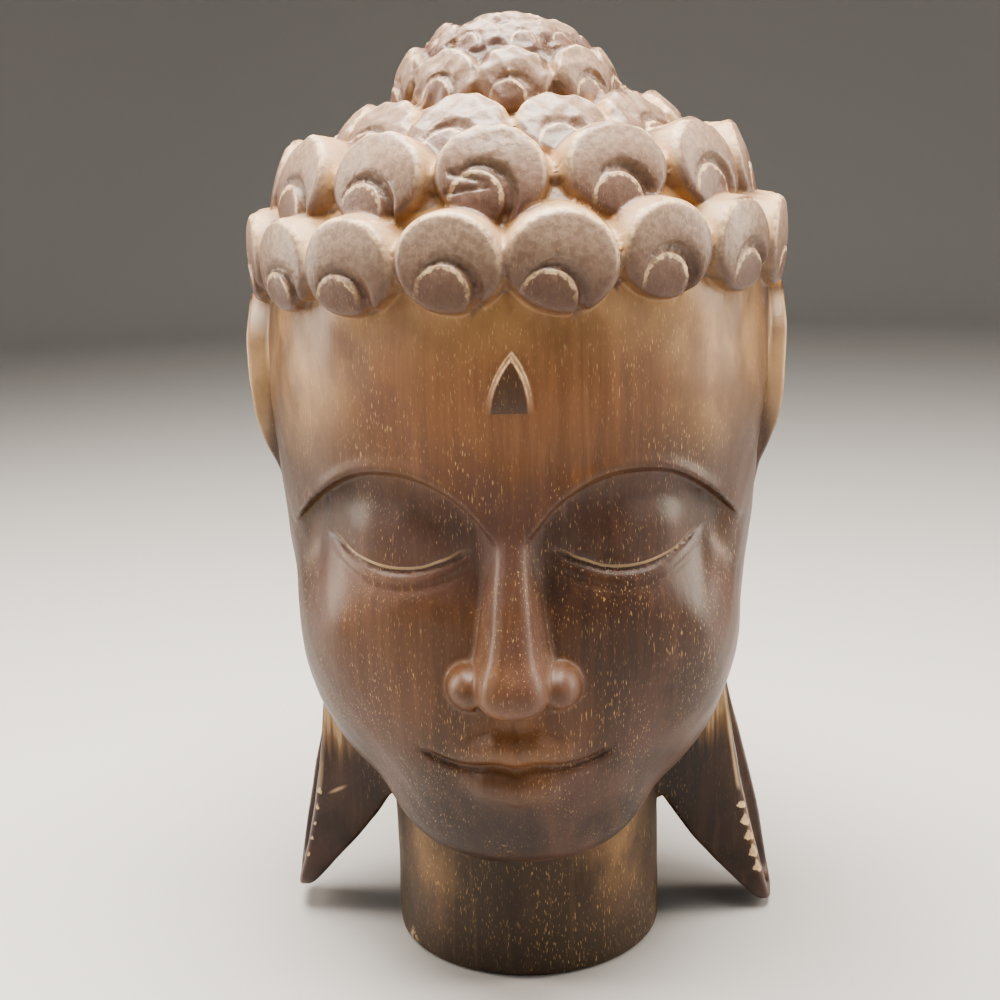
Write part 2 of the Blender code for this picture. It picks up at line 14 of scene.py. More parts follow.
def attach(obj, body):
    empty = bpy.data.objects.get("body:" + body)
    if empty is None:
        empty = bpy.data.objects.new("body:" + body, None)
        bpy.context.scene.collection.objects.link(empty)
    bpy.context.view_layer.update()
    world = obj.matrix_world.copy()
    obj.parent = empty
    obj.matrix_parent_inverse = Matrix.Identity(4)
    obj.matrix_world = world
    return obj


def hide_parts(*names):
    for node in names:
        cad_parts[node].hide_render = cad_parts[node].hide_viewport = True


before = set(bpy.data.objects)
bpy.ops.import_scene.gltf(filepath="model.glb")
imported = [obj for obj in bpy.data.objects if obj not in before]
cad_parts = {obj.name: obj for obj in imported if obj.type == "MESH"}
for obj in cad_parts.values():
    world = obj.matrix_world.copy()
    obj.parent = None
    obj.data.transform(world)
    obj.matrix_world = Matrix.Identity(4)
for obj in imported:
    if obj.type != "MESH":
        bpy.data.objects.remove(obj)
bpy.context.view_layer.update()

# The neck, a straight round post with an eased lower edge.
NECK_RADIUS = 0.0445
NECK_TOP = 0.095
FOOT_EDGE = 0.0025

# The face in thirds. The brim is where the hair ends on the forehead.
HEAD_HALF_WIDTH = 0.079
CHIN = 0.048
BRIM = 0.220
FACE_THIRD = (BRIM - CHIN) / 3
BROW = CHIN + 2 * FACE_THIRD
NOSE_BASE = CHIN + FACE_THIRD
MOUTH = NOSE_BASE - FACE_THIRD / 3
LASHES = BROW - FACE_THIRD / 4

# The bare head, as ovals with centre and radii.
CRANIUM = ((0, 0.004, 0.186), (HEAD_HALF_WIDTH, 0.080, 0.084))
JAW = ((0, -0.010, 0.122), (0.0705, 0.0655, 0.075))
JAW_SQUARENESS = 2.35
NAPE = ((0, 0.014, 0.150), (0.068, 0.064, 0.092))
CAP = ((0.0012, 0.004, 0.206), (0.0792, 0.0800, 0.0622))
CAP_SQUARENESS = 2.8
KNOT = ((-0.0014, 0.004, 0.2645), (0.0350, 0.0350, 0.0348))
KNOT_SQUARENESS = 2.2

# The edge of the brow, and the socket below it, which fades out towards the cheek.
BROW_ACROSS = (0.000, 0.005, 0.012, 0.022, 0.034, 0.047, 0.058, 0.068)
BROW_RISES = (-0.0130, -0.0085, -0.0005, 0.0062, 0.0090, 0.0066, -0.0012, -0.0120)
SOCKET_DEPTH = 0.0046
SOCKET_HEIGHT = 0.044
BROW_RIDGE = 0.0006

# The closed eye: the lash line where the upper lid ends, the lid's oval, and the lower lid behind it.
LASH_ACROSS = (0.000, 0.012, 0.020, 0.032, 0.044, 0.052, 0.062)
LASH_RISES = (0.0030, 0.0012, -0.0024, -0.0052, -0.0036, 0.0006, 0.0060)
EYE = ((0.0290, -0.0524, LASHES + 0.0036), (0.0220, 0.0142, 0.0142))
EYE_TURN = 24.0
LOWER_LID_BACK = 0.0023
SLIT_DEPTH = 0.0013
FOLD_BELOW = 0.0062
FOLD_DEPTH = 0.0005

# The nose: its ridge and the ridge's half width at a list of heights, then its rounded forms.
NOSE_HEIGHTS = (0.098, 0.104, 0.1115, 0.122, 0.140, 0.158, 0.170)
NOSE_RIDGE = (-0.0860, -0.0902, -0.0915, -0.0888, -0.0826, -0.0762, -0.0700)
NOSE_HALVES = (0.0060, 0.0065, 0.0070, 0.0052, 0.0038, 0.0034, 0.0050)
NOSE_TOP = 0.168
NOSE_BACK = -0.045
NOSE_SLOPE = 0.40
NOSE_TIP = ((0, -0.0812, NOSE_BASE + 0.0066), (0.0094, 0.0098, 0.0080))
NOSE_WING = ((0.0126, -0.0735, NOSE_BASE + 0.0052), (0.0070, 0.0108, 0.0074))
NOSTRIL = ((0.0082, -0.0790, NOSE_BASE - 0.0006), (0.0030, 0.0052, 0.0026))

# The mouth: lips as lines of points with radii, on a raised muzzle.
MUZZLE = ((0, -0.0540, MOUTH + 0.003), (0.034, 0.0215, 0.026))
FURROW = ((0, -0.0790, NOSE_BASE), (0, -0.0796, MOUTH + 0.009))
FURROW_RADII = (0.0022, 0.0036)
UPPER_LIP = (
    (0, -0.0746, MOUTH + 0.0044),
    (0.0050, -0.0749, MOUTH + 0.0059),
    (0.0130, -0.0724, MOUTH + 0.0043),
    (0.0200, -0.0676, MOUTH + 0.0024),
    (0.0262, -0.0618, MOUTH + 0.0024),
)
UPPER_LIP_RADII = (0.0051, 0.0053, 0.0047, 0.0033, 0.0012)
LOWER_LIP = (
    (0, -0.0724, MOUTH - 0.0070),
    (0.0080, -0.0714, MOUTH - 0.0062),
    (0.0160, -0.0678, MOUTH - 0.0032),
    (0.0240, -0.0628, MOUTH + 0.0010),
)
LOWER_LIP_RADII = (0.0066, 0.0062, 0.0044, 0.0014)
PARTING_ACROSS = (0.000, 0.005, 0.013, 0.022, 0.028, 0.034)
PARTING_RISES = (-0.0014, -0.0002, -0.0008, 0.0008, 0.0030, 0.0050)
PARTING_DEPTH = 0.0016
CHIN_BALL = ((0, -0.0500, CHIN + 0.0150), (0.0320, 0.0180, 0.0165))
CHEEK = ((0.034, -0.0410, 0.119), (0.028, 0.0225, 0.032))
CHEEK_TURN = 20.0

# The raised mark on the forehead: a pointed arch of two arcs, which leans a little.
MARK_BASE = 0.1890
MARK_TIP = 0.2064
MARK_HALF = 0.0066
MARK_MIDDLE = 0.0006
MARK_LEAN = 0.065
MARK_ARC = ((MARK_TIP - MARK_BASE) ** 2 - MARK_HALF**2) / (2 * MARK_HALF)
MARK_BEVEL = 0.0016
MARK_FOOT_RAISE = 0.0006
MARK_TIP_RAISE = 0.0027

# Rows of curls: the height their rays leave the axis at, the rays' rise and the rise the curls face in
# degrees, the curls in the round, the first one's bearing from the face's middle, and the curl radius.
CAP_ROWS = (
    (0.206, 17.6, -1.0, 17, 11.2, 0.0158),
    (0.206, 34.6, 17.0, 13, -2.0, 0.0162),
    (0.206, 50.0, 42.0, 11, 18.8, 0.0150),
)
ROW_LEAN = 0.7
KNOT_ROWS = (
    (0.264, 25.5, 18.0, 9, 5.0, 0.0124),
    (0.264, 53.0, 44.0, 10, 12.0, 0.0080),
    (0.264, 74.0, 66.0, 5, 20.0, 0.0070),
    (0.264, 90.0, 90.0, 1, 0.0, 0.0062),
)
BACK_ROW_HEIGHTS = (0.2085, 0.184, 0.1595, 0.135, 0.111, 0.089)
BACK_CURL_RADIUS = 0.0150
CURL_PITCH = 0.0275
SEED = 11

# A curl's rise, its dome and how deep it sinks, on the cap and on the topknot, which starts at CAP_TOP.
CAP_TOP = 0.25
CAP_CURL = (0.60, 0.12, 0.0010)
KNOT_CURL = (0.27, 0.17, 0.0004)

# The rest of a curl. These, its rise and its dome are shares of its radius.
CURL_HALF_HEIGHT = 0.91
CURL_RIM = 0.16
CURL_BALL = 0.47
CURL_HOLLOW = 0.60
HOLLOW_OFFSET = (0.14, 0.10)
HOOK_DEPTH = 0.26

# The ears, as seen on the +X side: outer and inner face at a list of heights.
EAR_HEIGHTS = (0.000, 0.008, 0.042, 0.078, 0.100, 0.118, 0.138, 0.158, 0.175, 0.188, 0.204, 0.220)
EAR_OUTER = (0.0850, 0.0836, 0.0778, 0.0702, 0.0676, 0.0700, 0.0742, 0.0785, 0.0834, 0.0850, 0.0862, 0.0866)
EAR_INNER = (0.0828, 0.0772, 0.0490) + 9 * (0.0320,)
EAR_SPLAY = (0.120, 0.130, 0.190, 0.070) + 8 * (0.050,)
LOBE_TIP = 0.008
LOBE_HALF_DEPTHS = (0.006, 0.009, 0.0140, 0.0150, 0.0142, 0.0132, 0.0126, 0.0125, 0.0125) + 3 * (0.012,)
EAR_Y = 0.009
AURICLE = ((EAR_Y + 0.001, 0.187), (0.0245, 0.0305))
EAR_EDGE = 0.0016
EAR_RIM = 0.0042
RIGHT_LOBE_DROP = 0.0060
RIGHT_LOBE_FLARE = 0.0026
LOBE_BEND = 0.085
LOBE_BEND_HEIGHT = 0.060

# The relief on the ear's outer face, as (y, z) points and ovals.
EAR_SUNK = 0.0034
EAR_FOLD = (
    (EAR_Y - 0.008, 0.207),
    (EAR_Y + 0.004, 0.2035),
    (EAR_Y + 0.0105, 0.193),
    (EAR_Y + 0.0095, 0.178),
    (EAR_Y + 0.004, 0.163),
    (EAR_Y, 0.152),
)
EAR_FOLD_RADII = (0.0008, 0.0014, 0.0018, 0.0018, 0.0014, 0.0006)
EAR_BOWL = ((EAR_Y - 0.004, 0.182), (0.0085, 0.0145))
EAR_BOWL_DEPTH = 0.0040
EAR_FLAP = ((EAR_Y - 0.0165, 0.176), (0.0052, 0.0075))

# Marks left by the knife and by use.
KNOT_NOTCHES = 30
NOTCH_LENGTH = 0.0060
NOTCH_RADII = (0.0012, 0.0005)
SCALLOP_DEPTH = 0.0009
SCALLOP_BEND = 0.0028
SCALLOPS_FROM = 0.2580
CHIPS = 5
CHIP_FOOT = 0.0225
CHIP_PITCH = 0.0061
CHIP_RADII = (0.0021, 0.0003)
LEFT_CHIP_LOSS = 0.0008
RUBBED_EDGE = (0.046, 0.088)
SCRATCH = ((-0.0646, -0.006, 0.0480), (0.0048, 0.0040, 0.0011), -23.0)

# The knobs that the curls start from, in shares of the curl's radius, and the skins' grids.
KNOB_WIDTH = 0.96
KNOB_HEIGHT = 0.60
ROUGH_VOXEL = 0.0022
MIDDLE_VOXEL = 0.0012
FINE_VOXEL = 0.00075
TRIANGLES = 190000


# Distances to plain forms: negative inside, positive outside


def length(v):
    return np.sqrt((v * v).sum(axis=-1))


def oval(p, form, power=2.0):
    """An ellipsoid, or with a power above 2 a boxier one whose level sections stay elliptical."""
    centre, radii = np.array(form[0]), np.array(form[1])
    q = (p - centre) / radii
    level = np.hypot(q[:, 0], q[:, 1])
    reach = (level**power + np.abs(q[:, 2]) ** power) ** (1 / power)
    reach = np.maximum(reach, 1e-4)
    return length(p - centre) * (1 - 1 / reach)


def turned_oval(p, form, degrees):
    """An ellipsoid whose first radius is turned from +X towards +Y."""
    d = p - np.array(form[0])
    c, s = math.cos(math.radians(degrees)), math.sin(math.radians(degrees))
    local = np.column_stack([c * d[:, 0] + s * d[:, 1], c * d[:, 1] - s * d[:, 0], d[:, 2]])
    return oval(local, ((0, 0, 0), form[1]))


def rod(p, ends, radii):
    """A round bar from one end to the other, whose radius changes evenly."""
    start, run = np.array(ends[0]), np.subtract(ends[1], ends[0])
    t = np.clip((p - start) @ run / (run @ run), 0, 1)
    return length(p - start - t[:, None] * run) - (radii[0] + t * (radii[1] - radii[0]))


def stroke(p, points, radii):
    """Round bars along a line of points, in space or on a plane."""
    spans = zip(points[:-1], points[1:], radii[:-1], radii[1:])
    return np.minimum.reduce([rod(p, (a, b), (ra, rb)) for a, b, ra, rb in spans])


def post(p, radius, top, edge):
    """An upright round post on the ground, with rounded edges."""
    out = np.hypot(p[:, 0], p[:, 1]) - radius + edge
    up = np.abs(p[:, 2] - top / 2) - top / 2 + edge
    corner = np.hypot(np.maximum(out, 0), np.maximum(up, 0))
    return corner + np.minimum(np.maximum(out, up), 0) - edge


def join(a, b, width):
    """Both forms, with the crease between them filled over the given width."""
    h = np.maximum(width - np.abs(a - b), 0) / width
    return np.minimum(a, b) - h * h * width / 4


def meet(a, b, width):
    """What the two forms share, with the edge between them rounded."""
    return -join(-a, -b, width)


def cut(a, b, width):
    """The first form without the second."""
    return meet(a, -b, width)


def ease(t):
    t = np.clip(t, 0, 1)
    return t * t * (3 - 2 * t)


def bump(distance, width):
    return np.exp(-((distance / width) ** 2))


def smooth_line(knots, values):
    """A function that passes smoothly through the given values at the given knots."""
    knots, values = np.array(knots, float), np.array(values, float)
    slopes = np.gradient(values, knots)

    def at(x):
        i = np.clip(np.searchsorted(knots, x) - 1, 0, len(knots) - 2)
        width = knots[i + 1] - knots[i]
        t = np.clip((x - knots[i]) / width, 0, 1)
        rise = values[i + 1] - values[i]
        start, end = slopes[i] * width, slopes[i + 1] * width
        bend = t * (1 - t) * ((start - rise) * (1 - t) + (rise - end) * t)
        return values[i] + t * rise + bend

    return at


# The bare head and the face


def skull(p):
    """Cranium, jaw and nape."""
    return join(join(oval(p, CRANIUM), oval(p, JAW, JAW_SQUARENESS), 0.022), oval(p, NAPE), 0.015)


def hair_ground(p, head):
    """Adds the smooth cap and topknot that the curls stand on."""
    head = join(head, oval(p, CAP, CAP_SQUARENESS), 0.006)
    return join(head, oval(p, KNOT, KNOT_SQUARENESS), 0.006)


def folded(p):
    """The points with the left half folded on to the right."""
    return np.column_stack([np.abs(p[:, 0]), p[:, 1], p[:, 2]])


BROW_LINE = smooth_line(BROW_ACROSS, np.array(BROW_RISES) + BROW)
LASH_LINE = smooth_line(LASH_ACROSS, np.array(LASH_RISES) + LASHES)


def facing_front(p, start, fade):
    """1 on the front of the head, falling to 0 towards its sides."""
    return ease((-p[:, 1] - start) / fade)


def brow_and_socket(p, head):
    """Steps the eye socket back under the brow's edge and fades it out towards the cheek."""
    below = BROW_LINE(p[:, 0]) - p[:, 2]
    side = ease((p[:, 0] - 0.001) / 0.009) * ease((0.071 - p[:, 0]) / 0.014)
    depth = ease((below + 0.0006) / 0.0030) * ease((SOCKET_HEIGHT - below) / 0.030) * side
    ridge = bump(below + 0.0016, 0.0022) * side
    return head + facing_front(p, 0.012, 0.020) * (SOCKET_DEPTH * depth - BROW_RIDGE * ridge)


def closed_eye(p, head):
    """A full upper lid that ends at the lash line, over a shallow lower lid."""
    over = LASH_LINE(p[:, 0]) - p[:, 2]
    lid = turned_oval(p, EYE, EYE_TURN)
    lower = lid + LOWER_LID_BACK + 0.12 * np.maximum(over, 0)
    head = join(head, lower, 0.0060)
    head = join(head, meet(lid, over, 0.0008), 0.0022)
    ends = ease((p[:, 0] - 0.010) / 0.006) * ease((0.057 - p[:, 0]) / 0.008)
    slit = SLIT_DEPTH * bump(over - 0.0010, 0.0010)
    fold = FOLD_DEPTH * bump(over - FOLD_BELOW, 0.0011)
    return head + (slit + fold) * ends * facing_front(p, 0.020, 0.015)


def nose(p, head):
    """A straight nose with a flat ridge, a rounded tip and two round wings."""
    behind = p[:, 1] - smooth_line(NOSE_HEIGHTS, NOSE_RIDGE)(p[:, 2])
    side = (p[:, 0] - smooth_line(NOSE_HEIGHTS, NOSE_HALVES)(p[:, 2]) - NOSE_SLOPE * behind) * 0.92
    under = NOSE_BASE + 0.0004 - p[:, 2] - 0.10 * (p[:, 1] + 0.090)
    bridge = meet(meet(side, -behind, 0.0034), under, 0.0060)
    bridge = meet(meet(bridge, p[:, 2] - NOSE_TOP, 0.0060), p[:, 1] - NOSE_BACK, 0.0060)
    form = join(join(bridge, oval(p, NOSE_TIP), 0.0040), oval(p, NOSE_WING), 0.0012)
    return join(head, cut(form, oval(p, NOSTRIL), 0.0012), 0.0018)


def mouth(p, head):
    """Full lips round a softly raised muzzle, with the groove above them."""
    head = join(head, oval(p, MUZZLE), 0.014)
    head = cut(head, rod(p, FURROW, FURROW_RADII), 0.0030)
    head = join(head, stroke(p, UPPER_LIP, UPPER_LIP_RADII), 0.0014)
    head = join(head, stroke(p, LOWER_LIP, LOWER_LIP_RADII), 0.0016)
    off = p[:, 2] - MOUTH - smooth_line(PARTING_ACROSS, PARTING_RISES)(p[:, 0])
    groove = bump(off, 0.0013) * ease((0.0300 - p[:, 0]) / 0.006)
    return head + PARTING_DEPTH * groove * facing_front(p, 0.040, 0.012)


def chin_and_cheeks(p, head):
    return join(join(head, oval(p, CHIN_BALL), 0.022), turned_oval(p, CHEEK, CHEEK_TURN), 0.018)


def mark_outline(p):
    """Distance outside the forehead mark's outline: two arcs that meet in a point over a straight foot."""
    above = p[:, 2] - MARK_BASE
    across = np.abs(p[:, 0] - MARK_MIDDLE - MARK_LEAN * above)
    arcs = np.hypot(across + MARK_ARC, above) - MARK_ARC - MARK_HALF
    return np.maximum(arcs, -above)


def forehead_mark(p, head):
    """A raised arch with a bevelled edge. Its flat face stands out most at the top."""
    outline = mark_outline(p)
    rise = np.clip((p[:, 2] - MARK_BASE) / (MARK_TIP - MARK_BASE), 0, 1)
    raise_here = MARK_FOOT_RAISE + (MARK_TIP_RAISE - MARK_FOOT_RAISE) * rise**0.8
    raised = raise_here * ease(-outline / MARK_BEVEL)
    line = 0.0002 * bump(outline + 0.45 * MARK_BEVEL, 0.0003) * ease(rise / 0.1)
    beside = 0.0004 * bump(outline - 0.0005, 0.0007) * ease(rise / 0.1)
    return head + facing_front(p, 0.040, 0.012) * (line + beside - raised)


# The hair


def direction(rise, bearing):
    rise, bearing = math.radians(rise), math.radians(bearing)
    level = math.cos(rise)
    return np.array([math.sin(bearing) * level, -math.cos(bearing) * level, math.sin(rise)])


def skull_point(height, rise, bearing):
    """Where a ray from the head's axis leaves the skull and the hair's ground."""
    away = direction(rise, bearing)
    start = np.array([0, CAP[0][1], height])
    near, far = 0.0, 0.120
    for _ in range(24):
        middle = (near + far) / 2
        point = (start + away * middle)[None]
        inside = hair_ground(point, skull(point))[0] < 0
        near, far = (middle, far) if inside else (near, middle)
    return start + away * near


def ear_back(z):
    """Where the ear ends towards the back of the head, at a height."""
    (ear_y, ear_z), (half_y, half_z) = AURICLE
    auricle = half_y * math.sqrt(max(1 - ((z - ear_z) / half_z) ** 2, 0))
    return max(ear_y + auricle, EAR_Y + float(smooth_line(EAR_HEIGHTS, LOBE_HALF_DEPTHS)(z)))


def bearings_behind_ears(height, radius, extra):
    """Evenly spaced bearings from one ear round the back to the other."""
    first = 90.0
    while skull_point(height, 0, first)[1] < ear_back(height) + 0.90 * radius:
        first += 1.0
    girth = skull_point(height, 0, 180)[1] - CAP[0][1] + 0.004
    arc = math.radians(360.0 - 2 * first) * girth
    return np.linspace(first, 360.0 - first, round(arc / CURL_PITCH) + 1 + extra)


def lay_out_curls():
    """Every curl's place, three directions, radius and the knife's own variations."""
    rows = []
    for height, rise, facing, count, first, radius in CAP_ROWS + KNOT_ROWS:
        bearings = [first + k * 360.0 / count for k in range(count)]
        rows.append((height, rise, facing, bearings, radius, 2.2 if height > CAP_TOP else 1.0))
    for i, height in enumerate(BACK_ROW_HEIGHTS):
        radius = BACK_CURL_RADIUS - 0.0003 * i
        lean = -12.0 * (i / (len(BACK_ROW_HEIGHTS) - 1)) ** 2
        rows.append((height, 0.0, lean, bearings_behind_ears(height, radius, i % 2), radius, 0.8))
    rng = np.random.default_rng(SEED)
    curls = []
    for height, rise, facing, bearings, radius, wander in rows:
        curl_rise, dome, sink = KNOT_CURL if height > CAP_TOP else CAP_CURL
        for bearing in bearings:
            draws = rng.uniform(-1, 1, 8)
            climb = rise + 0.6 * wander * draws[0]
            if 0 < rise < 90:
                climb += ROW_LEAN * math.sin(math.radians(bearing))
            place = skull_point(height, climb, bearing + 0.6 * wander * draws[1])
            out = direction(facing + 2.0 * wander * draws[2], bearing + 2.0 * wander * draws[3])
            right = np.cross([0, 0, 1], out) if facing < 89 else np.array([1.0, 0, 0])
            right = right / length(right)
            turn = math.radians(11.0 * wander * draws[4])
            up = np.cross(out, right)
            c, s = math.cos(turn), math.sin(turn)
            axes = np.column_stack([c * right + s * up, c * up - s * right, out])
            curls.append(
                {
                    "place": place,
                    "axes": axes,
                    "radius": radius * (1 + 0.035 * wander * draws[5]),
                    "rise": curl_rise,
                    "dome": dome,
                    "sink": sink,
                    "ball": (-0.10 + 0.10 * draws[6], -0.56 + 0.08 * draws[7]),
                    "depth": HOOK_DEPTH * (1 + 0.35 * draws[0]),
                    "slits": 30 < rise < 40 and abs(bearing) < 8,
                }
            )
    return curls


def hook(x, y, curl):
    """How deep the gouge is, from 0 to 1: a crescent, steep beside the small ball that it winds over."""
    from_ball = np.hypot(x - curl["ball"][0], y - curl["ball"][1]) - CURL_BALL
    hollow = np.hypot(x - curl["ball"][0] - HOLLOW_OFFSET[0], y - curl["ball"][1] - HOLLOW_OFFSET[1])
    from_rim = CURL_HOLLOW - hollow
    width = np.maximum(from_ball + from_rim, 1e-3)
    across = np.clip(from_ball / width, 0, 1)
    inside = (from_ball > 0) & (from_rim > 0)
    return inside * ease(across / 0.34) * (1 - across) ** 0.8 * np.clip(width / 0.22, 0, 1)


def slits(x, y):
    """Two long notches that meet in a point beside the gouge."""
    seen = np.column_stack([x, y])
    upper = rod(seen, ((-0.66, -0.12), (0.02, -0.24)), (0.095, 0.050))
    lower = rod(seen, ((-0.66, -0.44), (0.02, -0.30)), (0.085, 0.050))
    return ease(-np.minimum(upper, lower) / 0.09)


def curl_form(q, curl):
    """One snail curl in its own directions: a drum with steep sides and a hooked, slightly domed face."""
    q = q / curl["radius"]
    around = np.hypot(q[:, 0], q[:, 1] / CURL_HALF_HEIGHT)
    side = around - 1 + 0.10 * q[:, 2]
    face = q[:, 2] - curl["rise"] + curl["dome"] * around**2
    drum = meet(meet(side, face, CURL_RIM), -q[:, 2] - 0.7, 0.2)
    gouge = hook(q[:, 0], q[:, 1], curl)
    if curl["slits"]:
        gouge = np.maximum(gouge, 0.26 * slits(q[:, 0], q[:, 1]))
    return curl["radius"] * (drum + curl["depth"] * gouge * ease((q[:, 2] - 0.02) / 0.16))


def near_curls(p, curls):
    """For each curl, the numbers of the points close to it."""
    found = []
    for curl in curls:
        offset = p - curl["place"]
        reach = 1.5 * curl["radius"] + 0.003
        found.append(np.nonzero((offset * offset).sum(axis=1) < reach * reach)[0])
    return found


def curl_coordinates(p, curl):
    local = (p - curl["place"]) @ curl["axes"]
    local[:, 2] += curl["sink"]
    return local


def hair(p, head, curls, near):
    """Adds the curls. Each is worked out only for the points near it."""
    for curl, at in zip(curls, near):
        if len(at):
            head[at] = join(head[at], curl_form(curl_coordinates(p[at], curl), curl), 0.0011)
    return head


# The ears and the knife's marks


def ear_side_view(p):
    """Distance outside the ear's outline as seen from the side."""
    y, z = p[:, 1], p[:, 2]
    (ear_y, ear_z), (half_y, half_z) = AURICLE
    auricle = (np.hypot((y - ear_y) / half_y, (z - ear_z) / half_z) - 1) * half_y
    lobe = np.abs(y - ear_y) - smooth_line(EAR_HEIGHTS, LOBE_HALF_DEPTHS)(z)
    lobe = meet(lobe, z - ear_z, 0.002)
    return meet(join(auricle, lobe, 0.010), LOBE_TIP - z, 0.006)


def flat_oval(p, form):
    """How far out a point lies in an oval seen from the side: 1 on its edge."""
    (y, z), (half_y, half_z) = form
    return np.hypot((p[:, 1] - y) / half_y, (p[:, 2] - z) / half_z)


def ear_relief(p, outline):
    """How deep the ear's outer face is cut inside its rim."""
    sunk = EAR_SUNK * ease((-outline - EAR_RIM) / 0.0014)
    fold = stroke(p[:, 1:], EAR_FOLD, EAR_FOLD_RADII)
    relief = sunk * (1 - 0.85 * ease(1 - fold / 0.0014))
    relief = relief + EAR_BOWL_DEPTH * ease((1 - flat_oval(p, EAR_BOWL)) / 0.35)
    return relief * (1 - ease((1.25 - flat_oval(p, EAR_FLAP)) / 0.4))


def right_lobe_shift(z, is_right):
    """How far the right lobe's lower part hangs outwards and downwards of the left one's."""
    low = is_right * ease((LOBE_BEND - z) / LOBE_BEND_HEIGHT)
    return np.column_stack([RIGHT_LOBE_FLARE * low, 0 * low, -RIGHT_LOBE_DROP * low])


def lobe_edge(height):
    """The front edge of the lobe's outer face at a height."""
    outer = float(smooth_line(EAR_HEIGHTS, EAR_OUTER)(height))
    half = float(smooth_line(EAR_HEIGHTS, LOBE_HALF_DEPTHS)(height))
    splay = float(smooth_line(EAR_HEIGHTS, EAR_SPLAY)(height))
    return (outer - 2 * splay * half, EAR_Y - half, height)


def chips(p, is_right):
    """Distance to a row of small tapered chips along the lobe's front edge. The left lobe's are smaller."""
    rods = []
    for foot in CHIP_FOOT + CHIP_PITCH * np.arange(CHIPS):
        rods.append(rod(p, (lobe_edge(foot), lobe_edge(foot + 0.9 * CHIP_PITCH)), CHIP_RADII))
    return np.minimum.reduce(rods) + LEFT_CHIP_LOSS * ~is_right


def ears(p, is_right):
    """A long ear: a rimmed auricle above, and a channelled lobe that leaves the jaw and flares outwards."""
    p = p - right_lobe_shift(p[:, 2], is_right)
    z = p[:, 2]
    half = smooth_line(EAR_HEIGHTS, LOBE_HALF_DEPTHS)
    outer_face = smooth_line(EAR_HEIGHTS, EAR_OUTER)
    outline = ear_side_view(p)
    from_back = np.clip(EAR_Y + half(z) - p[:, 1], 0, 2 * half(z))
    splay = smooth_line(EAR_HEIGHTS, EAR_SPLAY)
    outer = p[:, 0] - outer_face(z) + splay(z) * from_back + ear_relief(p, outline)
    inner = (smooth_line(EAR_HEIGHTS, EAR_INNER)(z) - p[:, 0]) * 0.82
    ear = meet(meet(outer, inner, EAR_EDGE), outline, EAR_EDGE)
    return cut(ear, chips(p, is_right), 0.0003)


def hand_waves(p):
    """Gentle unevenness left by the knife and the sandpaper."""
    bent = p + 0.004 * np.sin(p[:, [2, 0, 1]] * 95.0 + 0.7)
    broad = np.sin(bent @ (150.0, 90.0, 120.0) + 0.4) * np.sin(bent @ (-90.0, 170.0, 65.0) + 1.9)
    narrow = np.sin(bent @ (330.0, -240.0, 170.0) + 2.2) * np.sin(bent @ (140.0, 290.0, -270.0))
    return 0.00020 * broad + 0.00009 * narrow


def knot_notches():
    """Small V notches of a narrow gouge all over the topknot, as pairs of ends."""
    rng = np.random.default_rng(SEED)
    centre, radii = np.array(KNOT[0]), np.array(KNOT[1])
    notches = []
    for _ in range(KNOT_NOTCHES):
        away = direction(rng.uniform(14, 84), rng.uniform(0, 360))
        point = centre + 1.03 * radii * away
        along = np.cross(away, rng.normal(size=3))
        along = along / length(along)
        for lean in (-0.45, 0.45):
            run = along + lean * np.cross(away, along)
            notches.append((point, point + rng.uniform(0.7, 1.2) * NOTCH_LENGTH * run / length(run)))
    return notches


def scalloped(p, head):
    """Scoops the topknot with a broad gouge, which leaves sharp ridges between its cuts."""
    at = np.nonzero(p[:, 2] > SCALLOPS_FROM)[0]
    bent = p[at] + SCALLOP_BEND * np.sin(p[at][:, [1, 2, 0]] * 170.0)
    across = np.abs(np.sin(bent @ (330.0, 190.0, 250.0) + 0.3))
    along = np.abs(np.sin(bent @ (-260.0, 300.0, 330.0) + 1.1))
    head[at] += SCALLOP_DEPTH * across * along * ease((p[at, 2] - SCALLOPS_FROM) / 0.012)
    return head


def notched(p, head):
    """Cuts the notches into the topknot."""
    at = np.nonzero(p[:, 2] > KNOT[0][2] + 0.006)[0]
    for ends in knot_notches():
        close = at[length(p[at] - (ends[0] + ends[1]) / 2) < 0.012]
        if len(close):
            head[close] = cut(head[close], rod(p[close], ends, NOTCH_RADII), 0.0003)
    return head


def carved_form(p, curls, near):
    """The whole head as one distance function."""
    right = folded(p)
    head = chin_and_cheeks(right, skull(right))
    head = brow_and_socket(right, head)
    head = closed_eye(right, head)
    head = mouth(right, head)
    head = nose(right, head)
    head = forehead_mark(p, hair_ground(p, head))
    beside = bump(ear_side_view(right) - 0.0012, 0.0015) * ease((right[:, 0] - 0.055) / 0.010)
    head = head + 0.0022 * beside * ease((right[:, 2] - 0.085) / 0.015) * ease((0.205 - right[:, 2]) / 0.02)
    head = join(head, ears(right, p[:, 0] > 0), 0.0014)
    head = join(head, post(right, NECK_RADIUS, NECK_TOP, FOOT_EDGE), 0.0030)
    head = hair(p, head, curls, near)
    head = notched(p, scalloped(p, head))
    return head + hand_waves(p) * ease(p[:, 2] / 0.006)


# The meshes


def new_object(name, mesh):
    obj = bpy.data.objects.new(name, mesh)
    bpy.context.scene.collection.objects.link(obj)
    return obj


def evaluated_mesh(obj, name):
    """The object's mesh with its modifiers applied. The object goes."""
    graph = bpy.context.evaluated_depsgraph_get()
    mesh = bpy.data.meshes.new_from_object(obj.evaluated_get(graph))
    mesh.name = name
    bpy.data.objects.remove(obj)
    return mesh


def vectors(items, name):
    found = np.empty(len(items) * 3)
    items.foreach_get(name, found)
    return found.reshape(-1, 3)


